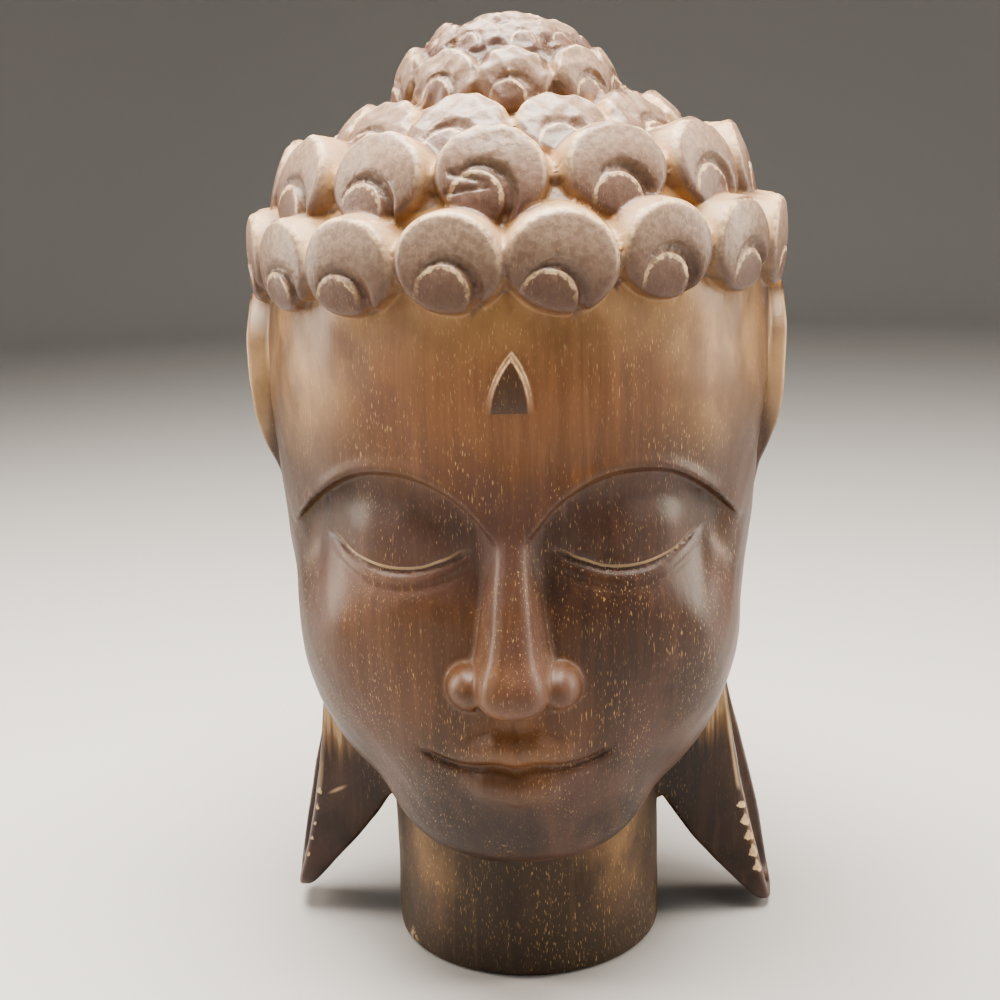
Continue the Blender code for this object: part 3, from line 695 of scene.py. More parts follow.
def add_node(tree, kind, inputs=None, **settings):
    """A new node with its settings. Each input gets a value of its own or a link from another node."""
    node = tree.nodes.new(kind)
    for name, setting in settings.items():
        setattr(node, name, setting)
    for name, source in (inputs or {}).items():
        if isinstance(source, bpy.types.NodeSocket):
            tree.links.new(source, node.inputs[name])
        else:
            node.inputs[name].default_value = source
    return node


def curl_knob_tree(material):
    """Geometry nodes that set a knob on every point, facing out and as wide as the point says."""
    tree = bpy.data.node_groups.new("curl_knobs", "GeometryNodeTree")
    tree.interface.new_socket("Geometry", in_out="INPUT", socket_type="NodeSocketGeometry")
    for size in ("Knob Width", "Knob Height"):
        tree.interface.new_socket(size, in_out="INPUT", socket_type="NodeSocketFloat")
    tree.interface.new_socket("Geometry", in_out="OUTPUT", socket_type="NodeSocketGeometry")
    given = add_node(tree, "NodeGroupInput").outputs
    width, height = given["Knob Width"], given["Knob Height"]
    facing = add_node(tree, "GeometryNodeInputNamedAttribute", {"Name": "facing"}, data_type="FLOAT_VECTOR")
    radius = add_node(tree, "GeometryNodeInputNamedAttribute", {"Name": "radius"}, data_type="FLOAT")
    shape = add_node(tree, "ShaderNodeCombineXYZ", {"X": width, "Y": width, "Z": height})
    scaled = {"Vector": shape.outputs["Vector"], "Scale": radius.outputs["Attribute"]}
    size = add_node(tree, "ShaderNodeVectorMath", scaled, operation="SCALE")
    aimed = {"Vector": facing.outputs["Attribute"]}
    aim = add_node(tree, "FunctionNodeAlignRotationToVector", aimed, axis="Z")
    ball = add_node(tree, "GeometryNodeMeshIcoSphere", {"Radius": 1.0, "Subdivisions": 3})
    placed = {
        "Points": given["Geometry"],
        "Instance": ball.outputs["Mesh"],
        "Rotation": aim.outputs["Rotation"],
        "Scale": size.outputs["Vector"],
    }
    place = add_node(tree, "GeometryNodeInstanceOnPoints", placed)
    realize = add_node(tree, "GeometryNodeRealizeInstances", {"Geometry": place.outputs["Instances"]})
    painted = {"Geometry": realize.outputs["Geometry"], "Material": material}
    paint = add_node(tree, "GeometryNodeSetMaterial", painted)
    add_node(tree, "NodeGroupOutput", {"Geometry": paint.outputs["Geometry"]})
    return tree


def curl_knobs(curls, material):
    """A mesh of plain knobs, one for each curl."""
    mesh = bpy.data.meshes.new("curl_places")
    mesh.from_pydata([curl["place"] for curl in curls], [], [])
    facing = mesh.attributes.new("facing", "FLOAT_VECTOR", "POINT")
    facing.data.foreach_set("vector", np.concatenate([curl["axes"][:, 2] for curl in curls]))
    radius = mesh.attributes.new("radius", "FLOAT", "POINT")
    radius.data.foreach_set("value", [curl["radius"] for curl in curls])
    places = new_object("curl_places", mesh)
    tree = curl_knob_tree(material)
    knobs = places.modifiers.new("knobs", "NODES")
    knobs.node_group = tree
    sockets = {item.name: item.identifier for item in tree.interface.items_tree if item.in_out == "INPUT"}
    knobs[sockets["Knob Width"]] = KNOB_WIDTH
    knobs[sockets["Knob Height"]] = KNOB_HEIGHT
    return evaluated_mesh(places, "curl_knobs")


def rough_head(node, curls, material):
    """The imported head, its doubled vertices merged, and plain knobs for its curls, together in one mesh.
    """
    bm = bmesh.new()
    bm.from_mesh(node.data)
    bmesh.ops.remove_doubles(bm, verts=bm.verts, dist=1e-5)
    bm.from_mesh(curl_knobs(curls, material))
    mesh = bpy.data.meshes.new("rough_head")
    bm.to_mesh(mesh)
    bm.free()
    return mesh


def remeshed(mesh, voxel, name):
    obj = new_object(name, mesh)
    skin = obj.modifiers.new("skin", "REMESH")
    skin.mode = "VOXEL"
    skin.voxel_size = voxel
    return evaluated_mesh(obj, name)


def settle(mesh, curls, rounds, longest):
    """Moves every vertex along the form's slope on to its surface."""
    points = vectors(mesh.vertices, "co")
    near = near_curls(points, curls)
    step = 0.0001
    for _ in range(rounds):
        here = carved_form(points, curls, near)
        slope = np.column_stack(
            [(carved_form(points + step * axis, curls, near) - here) / step for axis in np.eye(3)]
        )
        steep = np.maximum((slope * slope).sum(axis=1), 0.05)
        move = -(here / steep)[:, None] * slope
        far = np.maximum(length(move) / longest, 1.0)
        points = points + move / far[:, None]
    on_foot = points[:, 2] < 0.0002
    points[on_foot, 2] = 0.0
    mesh.vertices.foreach_set("co", points.ravel())
    mesh.update()


def fewer_triangles(mesh, limit, name):
    corners = bmesh.new()
    corners.from_mesh(mesh)
    bmesh.ops.triangulate(corners, faces=corners.faces)
    corners.to_mesh(mesh)
    corners.free()
    obj = new_object(name, mesh)
    fewer = obj.modifiers.new("fewer_triangles", "DECIMATE")
    fewer.ratio = min(limit / len(mesh.polygons), 1.0)
    return evaluated_mesh(obj, name)


# What the finish needs to know at each vertex


def vertex_pairs(mesh):
    """Both ends of every edge, taken both ways round."""
    edges = np.empty(len(mesh.edges) * 2, dtype=np.int64)
    mesh.edges.foreach_get("vertices", edges)
    edges = edges.reshape(-1, 2)
    return np.concatenate([edges[:, 0], edges[:, 1]]), np.concatenate([edges[:, 1], edges[:, 0]])


def average(values, ends, count):
    """The mean, for each vertex, of the values along its edges."""
    neighbours = np.bincount(ends, minlength=count)
    return np.bincount(ends, weights=values, minlength=count) / np.maximum(neighbours, 1)


def spread(values, pairs, rounds):
    """Averages each vertex's value with its neighbours'."""
    ends, others = pairs
    for _ in range(rounds):
        values = 0.5 * values + 0.5 * average(values[others], ends, len(values))
    return values


def curvature(points, normals, pairs):
    """Positive on ridges and negative in creases, in 1/metre."""
    ends, others = pairs
    gap = points[others] - points[ends]
    bend = -(gap * normals[ends]).sum(axis=1) / (gap * gap).sum(axis=1)
    return average(bend, ends, len(points))


def shelter(points, normals, curls):
    """How enclosed each vertex is, from 0 in the open to 1 in a deep hollow."""
    near = near_curls(points, curls)
    closed = np.zeros(len(points))
    for reach, share in ((0.0030, 0.4), (0.0080, 0.6)):
        free = carved_form(points + reach * normals, curls, near) / reach
        closed += share * np.clip(1 - free, 0, 1)
    return closed


def store(mesh, name, values):
    attribute = mesh.attributes.new(name, "FLOAT", "POINT")
    attribute.data.foreach_set("value", np.clip(values, 0, 1).astype(np.float32))


def hair_places(points, normals, curls):
    """Each vertex's place on its curl: its share, steepness, height, and distance from middle and ball."""
    count = len(points)
    share, steep, high = np.zeros((3, count))
    middle, ball = np.full(count, 9.0), np.full(count, 9.0)
    for curl, at in zip(curls, near_curls(points, curls)):
        local = curl_coordinates(points[at], curl) / curl["radius"]
        x, y = local[:, 0], local[:, 1]
        around = np.hypot(x, y / CURL_HALF_HEIGHT)
        on = ease((1.25 - 0.20 * ease((-y - 0.2) / 0.3) - around) / 0.20) * (local[:, 2] > -0.05)
        level = normals[at] @ curl["axes"][:, 2]
        edge = ease((length(local[:, :2]) - 0.72) / 0.12)
        steep[at] = np.maximum(steep[at], on * edge * ease((0.62 - level) / 0.4))
        share[at] = np.maximum(share[at], on)
        nearer = (local[:, 2] > 0.05) & (around < middle[at])
        chosen = at[nearer]
        middle[chosen] = around[nearer]
        high[chosen] = 0.5 + 0.5 * y[nearer]
        from_ball = np.hypot(x - curl["ball"][0], y - curl["ball"][1]) - CURL_BALL
        ball[chosen] = from_ball[nearer]
    return share, steep, high, middle, ball


def mark_finish(mesh, curls):
    """Stores at each vertex what the wood's finish needs to know."""
    points, normals = vectors(mesh.vertices, "co"), vectors(mesh.vertex_normals, "vector")
    pairs = vertex_pairs(mesh)
    share, steep, high, middle, ball = hair_places(points, normals, curls)
    store(mesh, "ridge", (spread(curvature(points, normals, pairs), pairs, 2) - 110) / 500)
    store(mesh, "hollow", spread(shelter(points, normals, curls), pairs, 1))
    store(mesh, "hair", share)
    store(mesh, "curl_side", spread(steep, pairs, 1))
    store(mesh, "curl_high", high)
    store(mesh, "from_middle", middle / 2)
    store(mesh, "from_ball", 0.5 + ball / 2)
    store(mesh, "upward", normals[:, 2])
    store(mesh, "outward", normals[:, 0] * np.sign(points[:, 0]))


# The wood's finish


class Value:
    """A number worked out at each point of the wood, with the arithmetic that the finish needs."""

    def __init__(self, wood, socket):
        self.wood, self.socket = wood, socket

    def __abs__(self):
        return self.wood.math("ABSOLUTE", self)

    def ramp(self, low, high, start=0.0, end=1.0):
        """Goes smoothly from start to end as the value goes from low to high."""
        inputs = {"Value": self, "From Min": low, "From Max": high, "To Min": start, "To Max": end}
        return self.wood.value("ShaderNodeMapRange", "Result", inputs, interpolation_type="SMOOTHSTEP")

    def curve(self, knots, values):
        """A smooth curve through the given values at the given knots."""
        lowest, span = min(values), max(values) - min(values)
        node = self.wood.add("ShaderNodeFloatCurve", {"Value": self / knots[-1]})
        line = node.mapping.curves[0]
        while len(line.points) < len(knots):
            line.points.new(0.5, 0.5)
        for point, knot, result in zip(line.points, knots, values):
            point.location = (knot / knots[-1], (result - lowest) / span)
        node.mapping.update()
        return Value(self.wood, node.outputs["Value"]) * span + lowest


# The signs that values are reckoned with. The sign | takes the larger of two.
SIGNS = {"add": "ADD", "sub": "SUBTRACT", "mul": "MULTIPLY", "truediv": "DIVIDE"}
SIGNS.update({"pow": "POWER", "or": "MAXIMUM"})
for sign, operation in SIGNS.items():
    setattr(Value, f"__{sign}__", lambda a, b, operation=operation: a.wood.math(operation, a, b))


class Wood:
    """One block's material: its grain, and short ways to add what its finish is made of."""

    def __init__(self, name):
        self.material = bpy.data.materials.new(name)
        self.material.use_nodes = True
        self.shader = self.material.node_tree.nodes["Principled BSDF"]
        self.place = self.add("ShaderNodeTexCoord").outputs["Object"]
        parts = self.add("ShaderNodeSeparateXYZ", {"Vector": self.place})
        self.x, self.y, self.z = (Value(self, part) for part in parts.outputs)
        self.fibres = self.noise((420.0, 420.0, 14.0), 4.0, 0.62, 0.3)
        self.bands = self.noise((46.0, 46.0, 9.0), 3.0, 0.55, 1.2)
        self.patches = self.noise((17.0, 17.0, 11.0), 3.0, 0.5)
        self.clouds = self.noise((34.0, 34.0, 26.0), 3.0, 0.5, 0.6)
        self.blotches = self.noise((62.0, 62.0, 40.0), 4.0, 0.55)
        self.rough = self.noise((520.0, 520.0, 520.0), 2.5, 0.6)
        self.pores = self.noise((2700.0, 2700.0, 480.0), 1.0, 0.4).ramp(0.63, 0.74)
        self.hair = self.stored("hair")
        self.upward = self.stored("upward")
        self.ridge = self.stored("ridge")

    def add(self, kind, inputs=None, **settings):
        plain = {}
        for name, source in (inputs or {}).items():
            plain[name] = source.socket if isinstance(source, Value) else source
        return add_node(self.material.node_tree, kind, plain, **settings)

    def value(self, kind, output, inputs, **settings):
        return Value(self, self.add(kind, inputs, **settings).outputs[output])

    def math(self, operation, a, b=0.0):
        return self.value("ShaderNodeMath", 0, {0: a, 1: b}, operation=operation)

    def stored(self, name):
        return self.value("ShaderNodeAttribute", "Fac", {}, attribute_name=name)

    def noise(self, scale, detail, roughness, distortion=0.0):
        stretched = self.add("ShaderNodeMapping", {"Vector": self.place, "Scale": scale})
        inputs = {"Vector": stretched.outputs["Vector"], "Scale": 1.0, "Detail": detail}
        inputs.update({"Roughness": roughness, "Distortion": distortion})
        return self.value("ShaderNodeTexNoise", "Fac", inputs)

    def near(self, centre, radii, turn=0.0):
        """1 at a place on the wood, falling smoothly to 0 at the given distances from it."""
        frame_of_place = {"Vector": self.place, "Location": centre, "Scale": radii}
        frame_of_place["Rotation"] = (0.0, math.radians(turn), 0.0)
        local = self.add("ShaderNodeMapping", frame_of_place, vector_type="TEXTURE").outputs["Vector"]
        reach = self.value("ShaderNodeVectorMath", "Value", {0: local}, operation="LENGTH")
        return reach.ramp(0.15, 1.0, 1.0, 0.0)

    def mix(self, share, a, b):
        return self.add("ShaderNodeMix", {0: share, 6: a, 7: b}, data_type="RGBA").outputs[2]

    def bump(self, height, strength, distance, normal):
        inputs = {"Height": height, "Strength": strength, "Distance": distance}
        if normal:
            inputs["Normal"] = normal
        return self.add("ShaderNodeBump", inputs).outputs["Normal"]


DARK = (0.0130, 0.0062, 0.0040, 1.0)
BROWN = (0.056, 0.0225, 0.0105, 1.0)
WARM = (0.205, 0.0940, 0.0400, 1.0)
GOLD = (0.360, 0.2050, 0.0860, 1.0)
TAN = (0.380, 0.2450, 0.1320, 1.0)
PALE = (0.580, 0.4200, 0.2450, 1.0)
# A pale colour for the curls: partly dust, partly painted light from above.
DUST_AND_TOP_LIGHT = (0.360, 0.2650, 0.1900, 1.0)
OLIVE = (0.042, 0.0260, 0.0115, 1.0)
PLUM = (0.085, 0.0400, 0.0300, 1.0)
FLECK = (0.470, 0.3000, 0.1400, 1.0)

# Places on the wood whose tone differs, each with its centre and its reach along x, y and z.
FOREHEAD = ((-0.008, -0.075, 0.196), (0.085, 0.060, 0.048))
CHEEKS = ((-0.030, -0.068, 0.118), (0.055, 0.050, 0.050))
UPPER_MOUTH = ((0.0, -0.085, 0.098), (0.036, 0.036, 0.036))
WHOLE_FACE = ((0.0, -0.085, 0.130), (0.080, 0.070, 0.100))
# The temples' gold stands partly for a painted highlight.
LEFT_TEMPLE = ((-0.064, -0.050, 0.206), (0.036, 0.052, 0.044))
RIGHT_TEMPLE = ((0.064, -0.050, 0.206), (0.036, 0.052, 0.044))
LEFT_EAR_STRIP = ((-0.084, -0.010, 0.196), (0.012, 0.018, 0.046))
RIGHT_EAR_STRIP = ((0.085, -0.010, 0.194), (0.012, 0.018, 0.044))
LEFT_LOBE_TOP = ((-0.062, -0.004, 0.078), (0.014, 0.030, 0.026))
RIGHT_LOBE_TOP = ((0.061, -0.004, 0.083), (0.014, 0.030, 0.028))
RIGHT_LOBE_SIDE = ((0.079, 0.000, 0.052), (0.007, 0.020, 0.040))
NECK_POST = ((0.0, 0.0, 0.030), (0.053, 0.053, 0.090))
NECK_LEFT = ((-0.032, -0.033, 0.036), (0.018, 0.022, 0.036))
NECK_RIGHT = ((0.031, -0.033, 0.046), (0.020, 0.022, 0.036))
FOOT_CHIPS = ((-0.0355, -0.0210, 0.0035), (0.0060, 0.0060, 0.0050))

# The pale lines on a curl, rubbed wear and painted highlight, in the measures that its vertices store.
HOOK_LINE = 0.49
RIM_LINE = 0.455


def mark_zones(wood):
    """How far the wood belongs to the forehead mark's flat face, painted dark as shade, and to its bevel,
    painted pale as a highlight.
    """
    above = wood.z - MARK_BASE
    across = abs(wood.x - MARK_MIDDLE - above * MARK_LEAN) + MARK_ARC
    arcs = (across * across + above * above) ** 0.5 - (MARK_ARC + MARK_HALF)
    front = wood.y.ramp(-0.045, -0.055) * above.ramp(0.0, 0.0004)
    face = front * arcs.ramp(-0.8 * MARK_BEVEL, -1.2 * MARK_BEVEL)
    bevel = arcs.ramp(-1.10 * MARK_BEVEL, -0.8 * MARK_BEVEL) * arcs.ramp(0.0001, -0.0002)
    bevel = bevel * abs(arcs + 0.45 * MARK_BEVEL).ramp(0.0001, 0.0004, 0.30, 1.0)
    bevel = bevel * (above / (MARK_TIP - MARK_BASE)).ramp(0.05, 0.60, 0.05, 1.0)
    return face, bevel * wood.rough.ramp(0.35, 0.60, 0.25, 1.0) * front


def lash_wear(wood):
    """Stain rubbed off the edge of the upper lids."""
    across = abs(wood.x)
    off = abs(wood.z - across.curve(LASH_ACROSS, [float(LASH_LINE(knot)) for knot in LASH_ACROSS]))
    ends = across.ramp(0.012, 0.022) * across.ramp(0.056, 0.046)
    wear = off.ramp(0.0007, 0.0003) * wood.y.ramp(-0.035, -0.045)
    return wear * ends * wood.patches.ramp(0.30, 0.62, 0.25, 0.70)


def curl_wear_and_highlights(wood, high):
    """Thin pale lines along the hook beside each curl's ball and along the upper edge of its face: rubbed
    wear, and painted highlight where the light from above catches these edges.
    """
    off_hook = abs(wood.stored("from_ball") + wood.rough.ramp(0.3, 0.7, -0.010, 0.010) - HOOK_LINE)
    hook_line = off_hook.ramp(0.026, 0.012) * high.ramp(0.16, 0.34)
    off_rim = abs(wood.stored("from_middle") - RIM_LINE)
    rim_line = off_rim.ramp(0.034, 0.008) * high.ramp(0.40, 0.80, 0.0, 0.75)
    return (hook_line * 0.75 | rim_line) * wood.rough.ramp(0.36, 0.62, 0.25, 1.0) * wood.hair


def lobe_wear(wood):
    """Bare wood along the rubbed front edge of each lobe, and in the row of chips below it."""
    is_right = wood.math("GREATER_THAN", wood.x)
    heights = np.linspace(0.0, 0.1, 9)[1:]
    left = [lobe_edge(z) for z in heights]
    right = [np.array(lobe_edge(z)) + right_lobe_shift(np.array([z]), True)[0] for z in heights]
    left_x, edge_y = (wood.z.curve(heights, [point[i] for point in left]) for i in (0, 1))
    right_x = wood.z.curve([float(z) for x, y, z in right], [float(x) for x, y, z in right])
    aside = abs(wood.x) - (left_x + is_right * (right_x - left_x))
    behind = wood.y - edge_y
    off = (aside * aside + behind * behind) ** 0.5
    low, high = RUBBED_EDGE
    line = wood.z.ramp(low, low + 0.004) * wood.z.ramp(high, high - 0.006)
    line = line * off.ramp(0.0019, 0.0010) * is_right.ramp(0.0, 1.0, 0.35, 1.0)
    climb = (wood.z + is_right * RIGHT_LOBE_DROP - CHIP_FOOT) / CHIP_PITCH
    climb = climb + wood.rough.ramp(0.3, 0.7, 0.10, 0.24)
    part = wood.math("FRACT", climb)
    width = wood.math("SUBTRACT", 1.0, part) ** 1.8 * part.ramp(0.0, 0.20, 0.10, 1.0)
    width = width * is_right.ramp(0.0, 1.0, 0.0015, 0.0030) + 0.0008
    chip = (width - off).ramp(0.0, 0.0004) * climb.ramp(-0.1, 0.0) * climb.ramp(CHIPS + 0.1, CHIPS - 0.2)
    return line | chip | wood.near(*SCRATCH)


def stain(wood, neck):
    """The dark stain, which is warmer on the face and olive on the neck. It is painted darker towards the
    bottom as shade, and gold under the brim and on the temples, partly as a painted highlight.
    """
    # Brown follows the grain but fades to dark lower down: painted shade, darker towards the bottom where
    # less light falls.
    depth = wood.fibres.ramp(0.30, 0.72, 0.40, 1.0) * wood.z.ramp(0.040, 0.130, 0.25, 1.0)
    colour = wood.mix(depth, DARK, BROWN)
    colour = wood.mix(wood.bands.ramp(0.48, 0.78, 0.0, 0.22), colour, WARM)
    warmth = wood.near(*FOREHEAD) | wood.near(*CHEEKS) * 0.50 | wood.near(*UPPER_MOUTH) * 0.85
    warmth = warmth * wood.patches.ramp(0.30, 0.60, 0.50, 0.95) * wood.fibres.ramp(0.28, 0.70, 0.70, 1.0)
    colour = wood.mix(warmth, colour, WARM)
    colour = wood.mix(wood.clouds.ramp(0.46, 0.66) * 0.55, colour, PLUM)
    # Gold under the brim and on the temples: partly the wood's ochre, partly a painted highlight where the
    # light from above and the sides falls.
    brim = wood.z.ramp(0.196, 0.222) * wood.y.ramp(-0.020, -0.050)
    brim = (brim | wood.near(*LEFT_TEMPLE) | wood.near(*RIGHT_TEMPLE)) * wood.hair.ramp(0.6, 0.2)
    colour = wood.mix(brim * wood.blotches.ramp(0.35, 0.60, 0.35, 0.80), colour, GOLD)
    colour = wood.mix(neck * wood.blotches.ramp(0.35, 0.65, 0.35, 0.80), colour, OLIVE)
    neck_sides = (wood.near(*NECK_RIGHT) | wood.near(*NECK_LEFT) * 0.7) * neck
    return wood.mix(neck_sides * wood.blotches.ramp(0.35, 0.65, 0.05, 0.42), colour, GOLD)


def stained_wood():
    """Stained wood under a satin varnish: dust on the curls, painted paler towards the top as if lit from
    above, bare wood where it is rubbed or chipped, and painted highlights and shade on some edges and
    faces.
    """
    wood = Wood("stained_wood")
    neck = wood.z.ramp(0.072, 0.050) * wood.near(*NECK_POST).ramp(0.0, 0.06)
    colour = wood.mix(wood.hair * 0.7, stain(wood, neck), PLUM)
    high = wood.stored("curl_high")
    # The hair is made paler towards the head's top and towards the top of each curl: painted light from
    # above, over real dust.
    lifted = wood.z.ramp(0.080, 0.215, 0.30, 1.0)
    dust_and_top_light = wood.hair * high.ramp(0.15, 0.85, 0.10, 0.70) * lifted
    colour = wood.mix(dust_and_top_light * wood.rough.ramp(0.35, 0.65, 0.6, 1.0), colour, DUST_AND_TOP_LIGHT)
    # The mark's flat face tilts downwards and is painted dark as shade; its bevel is painted pale as a
    # highlight with the pale marks below.
    mark_face_shade, mark_bevel_highlight = mark_zones(wood)
    colour = wood.mix(mark_face_shade * 0.70, colour, DARK)

    # The tops of the lobes: a gold patch, whose palest part at the very top is a painted highlight.
    lobe_top_gold_and_highlight = wood.near(*LEFT_LOBE_TOP) | wood.near(*RIGHT_LOBE_TOP)
    lobe_top_gold_and_highlight = (lobe_top_gold_and_highlight + wood.fibres.ramp(0.3, 0.7, -0.25, 0.25)).ramp(0.10, 1.05)
    lobe_top_gold_and_highlight = lobe_top_gold_and_highlight * wood.stored("outward").ramp(0.75, 0.45)
    lobe_side = wood.near(*RIGHT_LOBE_SIDE).ramp(0.05, 0.60) * wood.blotches.ramp(0.30, 0.55, 0.25, 0.60)
    bare = wood.stored("hollow").ramp(0.34, 0.66) * wood.patches.ramp(0.34, 0.58, 0.30, 0.85)
    bare = bare * wood.upward.ramp(0.0, 0.2, 0.25, 1.0) * wood.near(*WHOLE_FACE).ramp(0.0, 0.5, 1.0, 0.35)
    colour = wood.mix(bare | lobe_top_gold_and_highlight * 0.80 | lobe_side, colour, GOLD)
    strips = (wood.near(*LEFT_EAR_STRIP) | wood.near(*RIGHT_EAR_STRIP)).ramp(0.10, 0.60)
    strips = strips * wood.blotches.ramp(0.35, 0.60, 0.50, 0.95)
    # Bare curl walls, painted lighter where they face up and on the higher rows, and darker underneath:
    # painted light and shade from above.
    sides = wood.stored("curl_side") * wood.upward.ramp(-0.25, 0.35, 0.15, 0.85) * lifted
    sides = sides * wood.blotches.ramp(0.35, 0.60, 0.70, 1.0)
    colour = wood.mix(sides | strips, colour, TAN)

    # Pale marks: rubbed wear on ridges, chips and edges, together with painted highlights on the curls'
    # rims and hooks, the mark's bevel, the lobes' tops and the topknot's edges.
    worn_and_highlit = wood.ridge.ramp(0.35, 0.95) * wood.fibres.ramp(0.35, 0.6, 0.2, 0.7)
    worn_and_highlit = worn_and_highlit | wood.near(*FOOT_CHIPS) * wood.rough.ramp(0.46, 0.54)
    worn_and_highlit = worn_and_highlit | lash_wear(wood) | lobe_wear(wood) * 0.9 | mark_bevel_highlight * 0.80 | curl_wear_and_highlights(wood, high)
    worn_and_highlit = worn_and_highlit | lobe_top_gold_and_highlight.ramp(0.55, 1.0, 0.0, 0.60)
    # The topknot's edges: rubbed wear, painted paler to stand in for their glints as well.
    on_knot = wood.z.ramp(SCALLOPS_FROM, SCALLOPS_FROM + 0.010)
    worn_and_highlit = worn_and_highlit | wood.ridge.ramp(0.05, 0.40) * wood.rough.ramp(0.35, 0.55, 0.20, 0.85) * on_knot
    colour = wood.mix(worn_and_highlit, colour, PALE)
    on_lobe = abs(wood.x).ramp(0.050, 0.058) * wood.z.ramp(0.085, 0.070)
    flecks = wood.pores * wood.blotches.ramp(0.38, 0.62, 0.12, 0.62)
    flecks = flecks * wood.hair.ramp(0.3, 0.7, 1.0, 0.5) * on_lobe.ramp(0.0, 1.0, 1.0, 0.2)
    colour = wood.mix(flecks, colour, FLECK)

    gloss = wood.patches.ramp(0.3, 0.7, 0.36, 0.48) + neck * 0.20 + (bare | sides | worn_and_highlit) * 0.18
    normal = wood.bump(wood.fibres, 0.25, 0.0003, None)
    normal = wood.bump(wood.pores, 0.20, -0.0002, normal)
    normal = wood.bump(wood.rough * wood.hair, 0.30, 0.0006, normal)
    for socket, source in (("Base Color", colour), ("Roughness", gloss.socket), ("Normal", normal)):
        wood.material.node_tree.links.new(source, wood.shader.inputs[socket])
    wood.shader.inputs["Specular IOR Level"].default_value = 0.42
    wood.shader.inputs["Coat Weight"].default_value = 0.06
    wood.shader.inputs["Coat Roughness"].default_value = 0.30
    return wood.material


# The floor, the light and the camera


FLOOR_MIDDLE = 0.001
FLOOR_RADIUS = 1.9
SWEEP_RADIUS = 0.9
SWEEP_TOP = 3.0
SWEEP_STEPS = 16
ROUND_STEPS = 64


def floor():
    """A pale round floor that sweeps up into a wall all round, far from the head."""
    sweep = np.radians(np.linspace(0, 90, SWEEP_STEPS + 1))
    profile = [(FLOOR_RADIUS + SWEEP_RADIUS * math.sin(a), SWEEP_RADIUS * (1 - math.cos(a))) for a in sweep]
    profile = [(FLOOR_MIDDLE, 0.0), *profile, (FLOOR_RADIUS + SWEEP_RADIUS, SWEEP_TOP)]
    corners, faces = [], []
    for turn in range(ROUND_STEPS):
        angle = 2 * math.pi * turn / ROUND_STEPS
        corners += [(radius * math.cos(angle), radius * math.sin(angle), z) for radius, z in profile]
        here, beyond = turn * len(profile), (turn + 1) % ROUND_STEPS * len(profile)
        faces += [(here + k, here + k + 1, beyond + k + 1, beyond + k) for k in range(len(profile) - 1)]
    mesh = bpy.data.meshes.new("floor")
    mesh.from_pydata(corners, [], faces)
    mesh.shade_smooth()
    obj = new_object("floor", mesh)
    material = bpy.data.materials.new("pale_floor")
    material.use_nodes = True
    shader = material.node_tree.nodes["Principled BSDF"]
    shader.inputs["Base Color"].default_value = (0.45, 0.44, 0.43, 1)
    shader.inputs["Roughness"].default_value = 0.6
    mesh.materials.append(material)


def soft_light(name, place, target, size, power, colour=(1.0, 1.0, 1.0)):
    data = bpy.data.lights.new(name, "AREA")
    data.shape = "RECTANGLE"
    data.size, data.size_y = size
    data.energy = power
    data.color = colour
    lamp = new_object(name, data)
    lamp.location = place
    lamp.rotation_euler = (Vector(target) - Vector(place)).to_track_quat("-Z", "Y").to_euler()


WHOLE_HEAD = (0.0, 0.0, 0.16)
HAIR = (0.0, 0.0, 0.20)
WARM_WHITE = (1.0, 0.97, 0.93)
AMBER = (1.0, 0.90, 0.78)


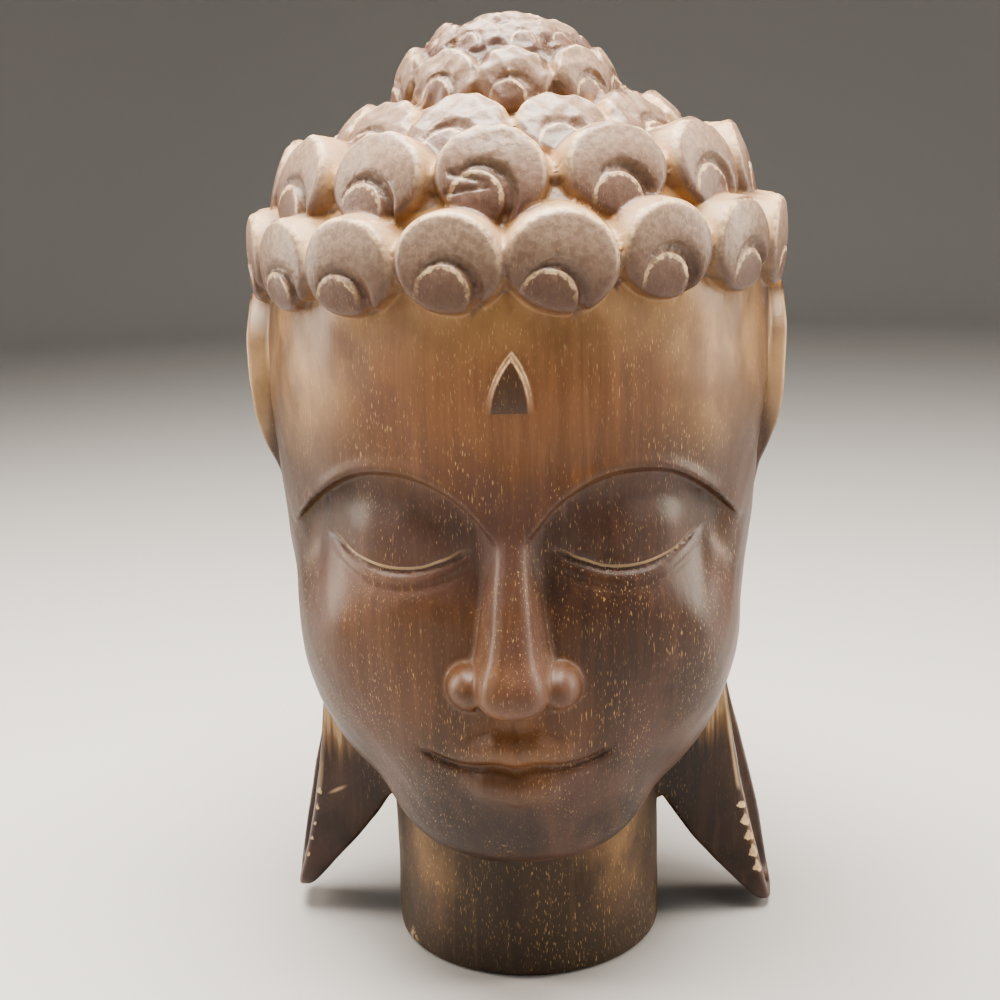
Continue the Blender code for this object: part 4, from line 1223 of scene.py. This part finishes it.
def studio_light():
    soft_light("overhead", (-0.03, -0.04, 0.86), (0, 0.0, 0.27), (0.7, 0.5), 29.0, (1.0, 0.95, 0.88))
    soft_light("window_left", (-1.00, -0.80, 0.55), WHOLE_HEAD, (0.5, 0.9), 4.0, WARM_WHITE)
    soft_light("fill_right", (1.00, -0.70, 0.45), WHOLE_HEAD, (0.5, 0.8), 2.7, WARM_WHITE)
    soft_light("rim_left", (-0.95, 0.10, 0.50), HAIR, (0.35, 0.9), 12.0, AMBER)
    soft_light("rim_right", (0.95, 0.10, 0.50), HAIR, (0.35, 0.9), 12.0, AMBER)
    soft_light("front_fill", (0.0, -1.60, 0.80), WHOLE_HEAD, (0.8, 0.5), 1.5)
    surroundings = bpy.data.worlds.new("studio")
    surroundings.use_nodes = True
    background = surroundings.node_tree.nodes["Background"]
    background.inputs["Color"].default_value = (0.90, 0.89, 0.87, 1)
    background.inputs["Strength"].default_value = 0.12
    bpy.context.scene.world = surroundings
    bpy.context.scene.view_settings.look = "AgX - Medium High Contrast"


CAMERA_DISTANCE = 0.481
CAMERA_HEIGHT = 0.257
CAMERA_AZIMUTH = 3.0
CAMERA_PITCH = 12.8
CAMERA_ROLL = 1.55
CAMERA_OFFSET = -0.0065
CAMERA_LENS = 54.0


def camera():
    data = bpy.data.cameras.new("camera")
    data.lens = CAMERA_LENS
    data.sensor_width = 36.0
    data.clip_start = 0.01
    obj = new_object("camera", data)
    azimuth = math.radians(CAMERA_AZIMUTH)
    aim = Matrix.Rotation(azimuth, 4, "Z") @ Matrix.Rotation(math.radians(90 - CAMERA_PITCH), 4, "X")
    place = Vector((math.sin(azimuth), -math.cos(azimuth), 0.0)) * CAMERA_DISTANCE
    place += Vector((CAMERA_OFFSET, 0.0, CAMERA_HEIGHT))
    obj.matrix_world = Matrix.Translation(place) @ aim @ Matrix.Rotation(math.radians(-CAMERA_ROLL), 4, "Z")
    bpy.context.scene.camera = obj


# The finished head


def carve_head():
    wood = stained_wood()
    curls = lay_out_curls()
    rough = remeshed(rough_head(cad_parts["buddha_head"], curls, wood), ROUGH_VOXEL, "rough_skin")
    settle(rough, curls, 2, ROUGH_VOXEL)
    middle = remeshed(rough, MIDDLE_VOXEL, "middle_skin")
    settle(middle, curls, 2, MIDDLE_VOXEL)
    skin = remeshed(middle, FINE_VOXEL, "fine_skin")
    settle(skin, curls, 2, FINE_VOXEL)
    mesh = fewer_triangles(skin, TRIANGLES, "carved_head")
    mark_finish(mesh, curls)
    mesh.materials.clear()
    mesh.materials.append(wood)
    mesh.shade_smooth()
    head = new_object("carved_head", mesh)
    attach(head, "root")
    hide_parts("buddha_head")


carve_head()
floor()
studio_light()
camera()
